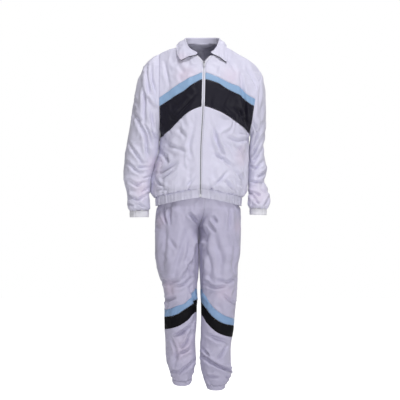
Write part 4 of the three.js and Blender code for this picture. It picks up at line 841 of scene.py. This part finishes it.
def dressPaintedShadow(surface, turned):  # a dark strip under each front end of the leaf, showing a little below it: painted shadow, a dark sheet standing in for the shade beneath the leaf's edge
    points, faces, steps = [], [], np.linspace(-1, 1, 5)
    for row, inside in ((0, 2), (-1, -3)):
        edge, ways = surface[row], turned[row]
        beyond = edge - surface[inside]
        beyond /= np.linalg.norm(beyond, axis=-1, keepdims=True)
        shows = collar["shadowShows"] * smooth(0, 4, np.arange(len(edge)))
        reach = np.where(steps > 0, steps * shows[:, None], steps * collar["shadowHidden"])
        lowered = edge - ways * (collar["wall"] + collar["shadowGap"])
        grid = lowered[:, None] + beyond[:, None] * reach[..., None]
        faces += (shellFaces(len(edge), len(steps), False) + len(points)).tolist()
        points += [*grid.reshape(-1, 3), *(grid - ways[:, None] * suit["wall"]).reshape(-1, 3)]
    # painted shadow: dark cloth strip in place of the shade under the leaf's edge
    newPiece("collarPaintedShadow", points, faces, cloth["dark"], "dark_cloth")


# Trousers

riseX = columns(("x",), [(-475, 8), (-600, 16), (-640, 16), (-706, 5), (-748, -8), (-900, -8)])["x"]
legKeys = ("outer", "inner", "front", "back", "y")
legs = {
    "left": columns(legKeys, [
        (-475, -150, -8, 106, 104, 0), (-515, -152, -8, 110, 106, 0), (-600, -176, -8, 120, 108, 0),
        (-655, -181, -8, 121, 108, 0), (-668, -187, -8, 124, 111, 0), (-745, -193, -9.5, 116, 116, 0),
        (-850, -193, -9.5, 104, 104, 0), (-910, -186, -9.5, 96, 96, -2), (-950, -175, -11, 90, 88, -4),
        (-985, -161, -16, 84, 80, -4), (-1050, -152, -17, 78, 74, -2), (-1130, -154, -18, 73, 74, 4),
        (-1218, -150, -24, 66, 72, 10), (-1300, -146, -21, 58, 62, 14), (-1336, -133, -28, 50, 52, 14),
        (-1366, -123, -36, 42, 42, 13), (-1374, -121, -38, 40, 40, 13), (-1396, -119, -42, 38, 38, 12),
    ]),
    "right": columns(legKeys, [
        (-475, 137, -8, 106, 104, 0), (-515, 139, -8, 110, 106, 0), (-600, 156, -8, 120, 108, 0),
        (-655, 159, -8, 121, 108, 0), (-668, 165, -8, 124, 111, 0), (-745, 168, -6.5, 116, 116, 0),
        (-850, 165, -6.5, 104, 104, 0), (-910, 155, -6.5, 96, 96, -2), (-950, 154, -5, 90, 88, -4),
        (-1016, 151, -2, 80, 76, -3), (-1100, 143, 0, 75, 73, 2), (-1184, 135, 0, 70, 74, 8),
        (-1250, 125, -3, 62, 68, 12), (-1310, 126, -3, 57, 60, 14), (-1345, 130, 1, 53, 54, 14),
        (-1372, 124, 9, 47, 47, 13), (-1394, 105, 18, 40, 40, 12), (-1418, 100, 25, 37, 37, 11),
    ]),
}
ankles = {
    "left": {"top": -1372, "bottom": -1394, "drop": 20},
    "right": {"top": -1394, "bottom": -1416, "drop": 16},
}
bandKeys = ("blueTop", "blueBottom", "darkBottom")
legBands = {
    "left": columns(bandKeys, [
        (-14, -1000, -1040, -1096), (-28, -1012, -1055, -1104), (-46, -1042, -1072, -1126),
        (-72, -1064, -1090, -1146), (-100, -1073, -1108, -1160), (-128, -1084, -1116, -1168),
        (-156, -1092, -1120, -1173),
    ]),
    "right": columns(bandKeys, [
        (-2, -1003, -1052, -1103), (20, -1033, -1082, -1137), (40, -1065, -1108, -1162),
        (60, -1088, -1126, -1180), (80, -1103, -1140, -1191), (102, -1115, -1149, -1199),
        (144, -1130, -1157, -1208),
    ]),
}
leg = {
    "columns": 61, "legGap": 2.2, "power": 2.25, "splitTop": -620, "thighTop": -600, "thighEnd": -880,
    "splitReach": 0.4, "tiltReach": 110, "apart": 0.15, "meetReach": 0.22, "pleats": (3.4, 16, 34),
    "crumple": 0.9, "backPress": 0.85, "otherPart": 900,
}

legMeet = columns(("by",), [  # how far the thighs close up on each other
    (-615, 0.1), (-680, 0.7), (-748, 2.0), (-765, 1.4), (-905, 1.3), (-930, 0),
])["by"]

legCreases = {
    "left": [
        (5, 7, -165, -662, -156, -695, -143, -720), (4, 7, -134, -664, -126, -712),
        (7, 8, -48, -690, -28, -708, -12, -728), (-5, 11, -24, -785, -42, -872, -84, -945),
        (3.5, 13, -60, -770, -90, -860, -110, -930), (5, 8, -165, -1052, -140, -1050, -112, -1040),
        (6, 8, -110, -1198, -78, -1184, -42, -1156), (5, 8, -82, -1250, -60, -1228, -42, -1194),
        (5, 7, -100, -1283, -72, -1268, -46, -1256), (5, 7, -88, -1352, -70, -1338, -36, -1311),
        (4, 5, -112, -1338, -94, -1346), (3.5, 12, -150, -760, -160, -860, -150, -930),
        (4, 9, -170, -960, -130, -975, -90, -965), (4, 8, -40, -960, -70, -985, -110, -990),
        (3.5, 8, -130, -1220, -110, -1270, -105, -1320), (3, 9, -60, -880, -40, -930),
        (2.5, 9, -130, -800, -110, -830), (3, 8, -20, -1060, -40, -1010),
    ],
    "right": [
        (5, 7, 30, -730, 46, -750, 60, -762), (4, 7, 45, -704, 58, -724),
        (5, 8, 14, -700, 2, -730, -4, -760), (4, 8, 90, -1035, 120, -1052, 148, -1064),
        (8, 8, 2, -1281, 38, -1309, 86, -1332, 120, -1352), (5, 6, 10, -1255, 20, -1268, 32, -1284),
        (5, 6, 92, -1334, 126, -1352), (3.5, 13, 60, -770, 80, -860, 84, -950),
        (3.5, 12, 120, -740, 140, -830, 136, -930), (3, 11, 20, -800, 32, -900, 30, -960),
        (4, 9, 150, -955, 110, -975, 70, -965), (4, 8, 20, -980, 60, -1000, 100, -992),
        (4, 8, 30, -1190, 70, -1215, 110, -1225), (3.5, 7, 110, -1240, 80, -1285),
        (3, 5, 100, -1375, 112, -1385), (4, 6, 24, -1370, 60, -1376), (4, 8, 120, -680, 126, -730),
    ],
}


def legShare(turn, z):
    t = np.clip((leg["splitTop"] - z) / (leg["splitTop"] - suit["crotch"]), 0, 1)
    return mix(t ** 2.2, smooth(leg["thighTop"], leg["thighEnd"], z), smooth(0, leg["splitReach"], turn))


def legPoint(side, face, turn, z):
    row, sign, facing = legs[side], sides[side], faceWays[face]
    outer, depth, share = row["outer"](z), row[face](z), legShare(turn, z)
    centre = riseX(z) + sign * 0.25
    inner = np.where(z > suit["crotch"], riseX(z) + sign * leg["legGap"], row["inner"](z))
    across = np.sin(turn * math.pi / 2)
    hipX = centre + (outer - centre) * across
    hipY = facing * depth * np.sqrt(np.maximum(1 - across ** jacket["crown"], 0))
    angle = turn * math.pi
    swing = np.sign(np.cos(angle)) * np.abs(np.cos(angle)) ** (2 / leg["power"])
    legX = mix(outer, inner, (1 + swing) / 2)
    legY = facing * depth * np.maximum(np.sin(angle), 0) ** (2 / leg["power"])
    x, y = mix(hipX, legX, share), row["y"](z) + mix(hipY, legY, share)
    tilt = smooth(ankles[side]["top"] + leg["tiltReach"], ankles[side]["top"], z)
    dropped = z + ankles[side]["drop"] * (y - row["y"](z)) / 45 * tilt
    return stack(x, y + facing * leg["apart"], dropped)


def legGrid(side, face):
    turn = np.linspace(0, 1, leg["columns"])
    bands = {}
    for key in bandKeys:
        z = np.full(turn.shape, -1080.0)
        for _ in range(24):
            z = mix(z, legBands[side][key](legPoint(side, "front", turn, z)[:, 0]), 0.6)
        if face == "back":
            z = mix(z[0], z[-1], turn)
        bands[key] = z
    flat = np.zeros(turn.shape)
    lines = [flat + ankles[side]["top"], bands["darkBottom"], bands["blueBottom"], bands["blueTop"],
             flat + suit["crotch"], flat + suit["riseTop"]]
    counts = [58, 16, 11, 72, 58]
    z = spread(lines, counts, ["none"] * 5)
    return legPoint(side, face, turn[None, :], z), turn, np.cumsum([0] + counts), z


def dressLeg(side):
    for face, facing in faceWays.items():
        grid, turn, breaks, level = legGrid(side, face)
        grid[..., 0] -= sides[side] * legMeet(level) * smooth(leg["meetReach"], 0, turn)
        outward, around = -sides[side] * facing, runLength(grid, 1)
        window = (smooth(0, 0.1, turn) * smooth(1, 0.88, turn))[None, :]
        x, z = swayed(grid)
        if face == "front":
            pressed = creased(legCreases[side], x, z)
        else:
            pressed = creased(legCreases[side], x - sides[side] * 6, z + 22) * leg["backPress"]
        relief = (crumpled(grid + leg["otherPart"]) * leg["crumple"] - pressed) * window
        pleats = gathered(around, runLength(grid, 0), seeds["leg"] + (side == "right"), *leg["pleats"])
        relief += pleats * np.sqrt(window)
        relief += sideSeam(grid) * seamLook["side"] - 0.6 * bump((around - 3.4) / 1.6)
        relief += seamRelief(grid, breaks[1:4] if face == "front" else [])
        normals = meetAtSides(gridNormals(grid, outward), [-1])
        shaped, turned = shapedBy(grid, normals, relief, outward)
        if face == "back":
            sidePieces([("legBack", "leg_back", "trouser", "hung")], side, [0, breaks[-1]], shaped, turned)
            continue
        parts = [("legFrontLower", "leg_front_lower", "trouser", "hung"),
                 ("legStripeDark", "leg_stripe_dark", "legDark", "hung"),
                 ("legStripeBlue", "leg_stripe_blue", "legBlue", "hung"),
                 ("legFrontUpper", "leg_front_upper", "trouser", "hung")]
        sidePieces(parts, side, [*breaks[:4], breaks[-1]], shaped, turned)
        for row, away in ((breaks[1], -2), (breaks[2], -2), (breaks[3], 2.2)):
            followRow(shaped, turned, row, away)
        rise = slice(breaks[4] - 2, None)
        followColumn(shaped[rise], turned[rise], 0, 3)
        followColumn(shaped, turned, -1, 3)
    dressAnkle(side)


def legRing(side, z):
    half = np.linspace(0, 1, leg["columns"])
    front = legPoint(side, "front", half[:-1], z)
    back = legPoint(side, "back", half[::-1][:-1], z)
    return np.concatenate([front, back])


def dressAnkle(side):
    levels = np.linspace(ankles[side]["bottom"], ankles[side]["top"] - 0.2, 10)
    grid = np.array([legRing(side, np.full(1, z)) for z in levels])
    shaped, turned = dressTube("ankleBand", "ankle_band", side, grid, "ankle", "trouser", suit["wall"])
    for row in (3, 6):
        addStitch(looped(shaped[row]), looped(turned[row]))


def dressWaist():
    turn, rings = np.linspace(0, 1, leg["columns"]), []
    for z in np.linspace(suit["riseTop"] + 0.2, suit["waistTop"], 10):
        walk = lambda side, face: legPoint(side, face, turn[1:], np.full(1, z))
        rings.append(np.concatenate([walk("left", "front"), walk("left", "back")[::-1][1:],
                                     walk("right", "back"), walk("right", "front")[::-1][1:]]))
    grid = np.array(rings)
    normals = gridNormals(grid, -1, wrap=True)
    if np.sum(normals[0, 30] * (grid[0, 30] - grid[0].mean(axis=0))) < 0:
        normals = -normals
    shaped = grid + normals * elasticRelief(grid, "waist")[..., None]
    shellPiece("waistbandCloth", "waistband", shaped, normals, "trouser", suit["bandWall"], wrap=True,
               held="gathered")


# Zip

zipLook = {
    "pitch": 2.3, "toothWidth": 2.5, "toothHeight": 1.35, "toothThick": 1.7, "toothIn": 0.7, "tapeColumns": 9,
    "wall": 0.9, "underPanel": 6, "sink": 1.3, "low": 0.9,
}
welts = {
    "left": {"top": -438, "bottom": -540, "topShare": 0.6, "bottomShare": 0.7, "width": 0.1, "lift": 1.6,
             "wall": 1.8},
    "right": {"top": -392, "bottom": -512, "topShare": 0.62, "bottomShare": 0.65, "width": 0.1, "lift": 1.4,
              "wall": 1.8},
}


def dressTape(side):
    bottom, bend, top = suit["bandBottom"] + jacket["arch"] + 2, suit["zipTop"] - 8, suit["collarStart"] - 3
    z = np.concatenate([np.linspace(bottom, bend, 150), np.linspace(bend, top, 20)[1:]])
    inner = frontEdge(side, z) + sides[side] * jacket["zipGap"]
    outer = panelEdge(side, z) + sides[side] * zipLook["underPanel"]
    across = np.linspace(0, 1, zipLook["tapeColumns"])
    x = mix(inner[:, None], outer[:, None], across[None, :])
    grid = bodyPoint(side, "front", x, z[:, None] + 0 * x)
    normals = gridNormals(grid, sides[side])
    relief = 0.25 * np.sin(z / 9)[:, None] * across - zipLook["low"]
    relief = relief - zipLook["sink"] * smooth(0.45, 0.62, across)[None, :]
    shellPiece("zipTape" + side.capitalize(), f"zip_tape_{side}", grid + normals * relief[..., None], normals,
               "tape",
               zipLook["wall"], held="hung")


def dressTeeth():
    points, faces, level = [], [], np.array([1.0, 0, 0])
    box = np.array([(a, b, c) for a in (-1, 1) for b in (-1, 1) for c in (-1, 1)], float)
    order = [(0, 1, 3, 2), (4, 6, 7, 5), (0, 4, 5, 1), (2, 3, 7, 6), (0, 2, 6, 4), (1, 5, 7, 3)]
    size = np.array([zipLook["toothWidth"], zipLook["toothThick"], zipLook["toothHeight"]]) / 2
    low = suit["bandBottom"] + jacket["arch"] + 4
    for k, z in enumerate(np.arange(low, suit["collarStart"] - 5, zipLook["pitch"] / 2)):
        side = "left" if k % 2 else "right"
        x = np.array(frontEdge(side, z) + sides[side] * zipLook["toothIn"])
        at, below = (bodyPoint(side, "front", x, np.array(height)) for height in (z, z - 3.0))
        lean = (at - below) / np.linalg.norm(at - below)
        out = np.cross(level, lean)
        faces += [tuple(len(points) + n for n in face[::-1]) for face in order]
        points += list(at + out * -0.1 + (box * size) @ np.array([level, out, lean]))
    newPiece("zipTeeth", points, faces, cloth["teeth"], "zip_plastic", smoothShade=False)


def dressWelt(side, shaped, turned):
    welt, rows, cols, last = welts[side], 40, 9, shaped.shape[1] - 1
    level = np.linspace(welt["bottom"], welt["top"], rows)
    start = np.linspace(welt["bottomShare"], welt["topShare"], rows)
    share = start[:, None] + welt["width"] * np.linspace(0, 1, cols)[None, :]
    grid, ways = np.zeros((rows, cols, 3)), np.zeros((rows, cols, 3))
    for i, j in np.ndindex(rows, cols):
        k = min(int(share[i, j] * last), last - 1)
        lane, way = (mix(part[:, k], part[:, k + 1], share[i, j] * last - k) for part in (shaped, turned))
        row = np.interp(level[i], lane[:, 2], np.arange(len(lane)))
        n = min(int(row), len(lane) - 2)
        grid[i, j], ways[i, j] = (mix(part[n], part[n + 1], row - n) for part in (lane, way))
    ways /= np.linalg.norm(ways, axis=-1, keepdims=True)
    lift = welt["lift"] * (1 - 0.55 * np.abs(np.linspace(-1, 1, cols)) ** 4) + 0.2
    grid = grid + ways * lift[None, :, None]
    shellPiece("pocketWelt" + side.capitalize(), f"pocket_welt_{side}", grid, ways, "jacket",
               welt["wall"] * 0.7,
               held="stretched")
    for column in (1, cols - 2):
        addStitch(grid[1:-1, column], ways[1:-1, column])


# Sewing thread

thread = {"pitch": 3.4, "length": 2.5, "thick": 0.55}


def sewAll():
    points, faces = [], []
    for path, ways in stitchLines:
        length = np.concatenate([[0], np.cumsum(np.linalg.norm(np.diff(path, axis=0), axis=1))])
        if length[-1] < thread["pitch"] * 2:
            continue
        for place in np.arange(thread["pitch"], length[-1] - thread["pitch"], thread["pitch"]):
            start, middle, end = (np.array([np.interp(place + d, length, path[:, k]) for k in range(3)])
                                  for d in (-thread["length"] / 2, 0, thread["length"] / 2))
            out = np.array([np.interp(place, length, ways[:, k]) for k in range(3)])
            out /= np.linalg.norm(out)
            across = np.cross(end - start, out)
            across *= thread["thick"] / 2 / max(np.linalg.norm(across), 1e-9)
            rise, first = out * thread["thick"] / 2, len(points)
            points += [start - rise, end - rise, middle + across, middle + rise, middle - across,
                       middle - rise]
            for a, b in ((2, 3), (3, 4), (4, 5), (5, 2)):
                faces += [(first, first + b, first + a), (first + 1, first + a, first + b)]
    newPiece("stitching", points, faces, cloth["thread"], "jacket_cloth")
    print("stitches:", len(points) // 6)


# Finishes

def linear(red, green, blue):
    out = []
    for value in (red, green, blue):
        share = value / 255
        out.append(share / 12.92 if share < 0.04 else ((share + 0.055) / 1.055) ** 2.4)
    return (*out, 1)


class Wire:  # a node's output that can be used in sums
    def __init__(self, tree, socket=None):
        self.tree, self.socket = tree, socket

    def add(self, kind, settings=None, values=None, out=0):
        node = self.tree.nodes.new(kind)
        for name, value in (settings or {}).items():
            if name == "stops":
                for stop, (place, colour) in zip(node.color_ramp.elements, value):
                    stop.position, stop.color = place, colour
            else:
                setattr(node, name, value)
        for name, value in (values or {}).items():
            if isinstance(value, Wire):
                self.tree.links.new(value.socket, node.inputs[name])
            else:
                node.inputs[name].default_value = value
        return Wire(self.tree, node.outputs[out])

    def into(self, node, name):
        self.tree.links.new(self.socket, node.inputs[name])

    def maths(self, operation, first, second=0.0):
        return self.add("ShaderNodeMath", {"operation": operation}, {0: first, 1: second})

    def __add__(self, other):
        return self.maths("ADD", self, other)

    def __sub__(self, other):
        return self.maths("SUBTRACT", self, other)

    def __rsub__(self, other):
        return self.maths("SUBTRACT", other, self)

    def __mul__(self, other):
        return self.maths("MULTIPLY", self, other)

    __radd__ = __add__
    __rmul__ = __mul__


def noise(place, size, detail=2.0, out=0):  # size in metres
    return place.add("ShaderNodeTexNoise", {}, {"Vector": place, "Scale": 1 / size, "Detail": detail}, out)


def blended(place, share, first, second):
    settings = {"data_type": "RGBA"}
    return place.add("ShaderNodeMix", settings, {0: share, 6: first, 7: second}, 2)


def weave(place, pitch):  # threads crossing both ways, on whichever side the cloth faces
    total = 0.0
    for k in range(3):
        line = place.add("ShaderNodeSeparateXYZ", {}, {0: place}, k)
        total = total + line.maths("ABSOLUTE", line.maths("SINE", line * (math.pi / pitch)))
    return total


def spot(place, centre, radius):
    away = place.add("ShaderNodeVectorMath", {"operation": "DISTANCE"}, {0: place, 1: centre}, 1)
    settings = {"interpolation_type": "SMOOTHSTEP"}
    return place.add("ShaderNodeMapRange", settings,
                     {"Value": away, "From Max": radius, "To Min": 1.0, "To Max": 0.0})


finishes = {  # colour, shade, roughness, gloss, sheen and the threads' pitch in metres
    "jacket": ((217, 215, 233), (203, 201, 222), 0.5, 0.45, 0.25, 0.0011),
    "trouser": ((190, 186, 209), (176, 172, 197), 0.5, 0.45, 0.25, 0.0011),
    "blue": ((148, 178, 212), (134, 165, 202), 0.5, 0.4, 0.2, 0.0011),
    "dark": ((25, 23, 38), (16, 14, 27), 0.5, 0.24, 0.1, 0.0011),
    "legBlue": ((136, 165, 202), (122, 151, 190), 0.5, 0.4, 0.2, 0.0011),
    "legDark": ((12, 11, 16), (7, 6, 11), 0.6, 0.12, 0.03, 0.0011),
    "cuff": ((232, 231, 238), (216, 215, 224), 0.62, 0.3, 0.3, 0.0019),
    "tape": ((230, 229, 241), (216, 215, 228), 0.66, 0.25, 0.2, 0.0014),
    "thread": ((226, 224, 234), (206, 204, 216), 0.5, 0.4, 0.3, 0.0008),
}
tintedFinishes = ("jacket", "trouser")
tintColour = (224, 196, 214)
tintSpots = [  # warm pink tints in the cloth: where, and how far they reach, in metres
    ((-0.19, -0.06, -0.49), 0.07), ((0.18, -0.08, -0.45), 0.07), ((-0.13, -0.07, -1.0), 0.06),
    ((0.1, -0.07, -1.02), 0.06), ((-0.16, -0.05, -0.72), 0.05), ((0.15, -0.05, -0.74), 0.05),
    ((-0.06, -0.1, -0.11), 0.07), ((0.12, -0.08, -0.12), 0.07), ((-0.07, -0.08, -1.25), 0.09),
    ((-0.24, -0.08, -0.58), 0.08), ((0.24, -0.03, -0.6), 0.08), ((-0.09, -0.09, -0.03), 0.05),
]
tintShare = 0.55


def newFinish(name):
    finish = bpy.data.materials.new(name)
    finish.use_nodes = True
    shader = finish.node_tree.nodes["Principled BSDF"]
    return finish, shader, Wire(finish.node_tree).add("ShaderNodeTexCoord", {}, {}, 3)


def makeCloth(name):
    finish, shader, place = newFinish(name + "Cloth")
    colour, shade, rough, gloss, sheen, pitch = finishes[name]
    clouds, crossed = noise(place, 0.09, 3), weave(place, pitch)
    fine, crinkle = noise(place, 0.006, 4), noise(place, 0.018, 3)
    share = clouds * 0.7 + fine * 0.3 + (crossed - 1.6) * 0.06
    mixed = blended(place, share, linear(*colour), linear(*shade))
    if name in tintedFinishes:
        # warm pink tint spots, stronger where the clouds noise is high
        warm = sum((spot(place, centre, radius) for centre, radius in tintSpots), 0.0) * clouds
        mixed = blended(place, warm * tintShare, mixed, linear(*tintColour))
    mixed.into(shader, "Base Color")
    (rough - 0.06 + clouds * 0.08 + fine * 0.05).into(shader, "Roughness")
    for name, value in (("Sheen Weight", sheen), ("Sheen Roughness", 0.4), ("Specular IOR Level", gloss)):
        shader.inputs[name].default_value = value
    height = crossed * 0.06 + fine * 0.25 + crinkle * 0.9
    raised = {"Height": height, "Strength": 0.5, "Distance": 0.0008}
    place.add("ShaderNodeBump", {}, raised).into(shader, "Normal")
    return finish


def makePlastic(name, colour, rough, lower=None):
    finish, shader, place = newFinish(name)
    specks, scuffs = noise(place, 0.0012, 3), noise(place, 0.006, 4)
    fresh = linear(*colour)
    # painted shade: below about z -0.2 m the colour turns to the darker lower colour, standing in for the
    # shadow in the zip's gap beside the placket
    if lower:
        height = place.add("ShaderNodeSeparateXYZ", {}, {0: place}, 2)
        settings = {"interpolation_type": "SMOOTHSTEP"}
        deep = place.add("ShaderNodeMapRange", settings,
                         {"Value": height, "From Min": -0.2, "From Max": -0.25})
        fresh = blended(place, deep, fresh, linear(*lower))
    worn = blended(place, scuffs * 0.3, fresh, linear(*(value * 0.82 for value in colour)))
    worn.into(shader, "Base Color")
    (rough - 0.08 + scuffs * 0.16).into(shader, "Roughness")
    raised = {"Height": specks, "Strength": 0.25, "Distance": 0.0002}
    place.add("ShaderNodeBump", {}, raised).into(shader, "Normal")
    return finish


for name in finishes:
    cloth[name] = makeCloth(name)
# its last colour is the painted shade of the lower teeth
cloth["teeth"] = makePlastic("zipTeethPlastic", (208, 208, 218), 0.36, (136, 136, 146))
hardware = {"zip_slider": (96, 92, 102), "zip_pull": (164, 164, 174), "zip_box": (216, 216, 226)}
for node, colour in hardware.items():
    for place in frame["nodes"][node].material_slots:
        place.material = makePlastic(node.replace("_", "") + "Plastic", colour, 0.32)
print("finishes made")


# Camera, floor and light

studio = {
    "distance": 20.0, "centre": (-0.0042, -0.63), "width": 1.68, "floor": -1.46, "floorSize": 40,
    "world": 0.34,
    "floorGlow": 0.8, "lights": {  # place, size and power
        "keyLight": ((0.55, -2.1, 3.3), 0.6, 90),
        "fillLight": ((1.0, -3.6, -1.4), 2.4, 81),
        "topLight": ((0.6, 1.6, 2.8), 2.0, 32),
    },
}
placed = bpy.context.scene.collection.objects
camera = bpy.data.objects.new("camera", bpy.data.cameras.new("camera"))
placed.link(camera)
camera.location = (studio["centre"][0], -studio["distance"], studio["centre"][1])
camera.rotation_euler = (math.pi / 2, 0, 0)
camera.data.lens = camera.data.sensor_width * studio["distance"] / studio["width"]
camera.data.clip_end = 100
bpy.context.scene.camera = camera

for name, (place, size, power) in studio["lights"].items():
    light = bpy.data.objects.new(name, bpy.data.lights.new(name, "AREA"))
    light.data.shape, light.data.size, light.data.energy = "SQUARE", size, power
    light.location = place
    aim = Vector((0, 0, studio["centre"][1])) - Vector(place)
    light.rotation_euler = aim.to_track_quat("-Z", "Y").to_euler()
    placed.link(light)

sky = bpy.data.worlds.new("studioSky")
sky.use_nodes = True
backdrop = sky.node_tree.nodes["Background"]
backdrop.inputs["Color"].default_value = (1, 1, 1, 1)
seen = Wire(sky.node_tree).add("ShaderNodeLightPath") * (1 - studio["world"]) + studio["world"]
seen.into(backdrop, "Strength")  # white behind the suit, dimmer as a light on it
bpy.context.scene.world = sky
bpy.context.scene.view_settings.view_transform = "Standard"

half = studio["floorSize"] / 2
floorMesh = bpy.data.meshes.new("floor")
corners = [(x * half, y * half, studio["floor"]) for x, y in ((-1, -1), (1, -1), (1, 1), (-1, 1))]
floorMesh.from_pydata(corners, [], [(0, 1, 2, 3)])
floor = bpy.data.objects.new("floor", floorMesh)
placed.link(floor)
paint = bpy.data.materials.new("paleFloor")
paint.use_nodes = True
shader = paint.node_tree.nodes["Principled BSDF"]
shader.inputs["Base Color"].default_value = (0.93, 0.93, 0.93, 1)
shader.inputs["Roughness"].default_value = 0.9
shown = Wire(paint.node_tree).add("ShaderNodeLightPath") * 1.0
shown.into(shader, "Emission Color")  # glows to the camera only
shader.inputs["Emission Strength"].default_value = studio["floorGlow"]
floorMesh.materials.append(paint)
print("studio set")


# Dressing, piece by piece

for side in sides:
    dressWelt(side, *dressFront(side))
    dressTape(side)
    dressSleeve(side)
    dressLeg(side)
    print(side, "side dressed")
dressBack()
dressCollar()
dressWaist()
dressTeeth()
sewAll()
print("suit dressed")
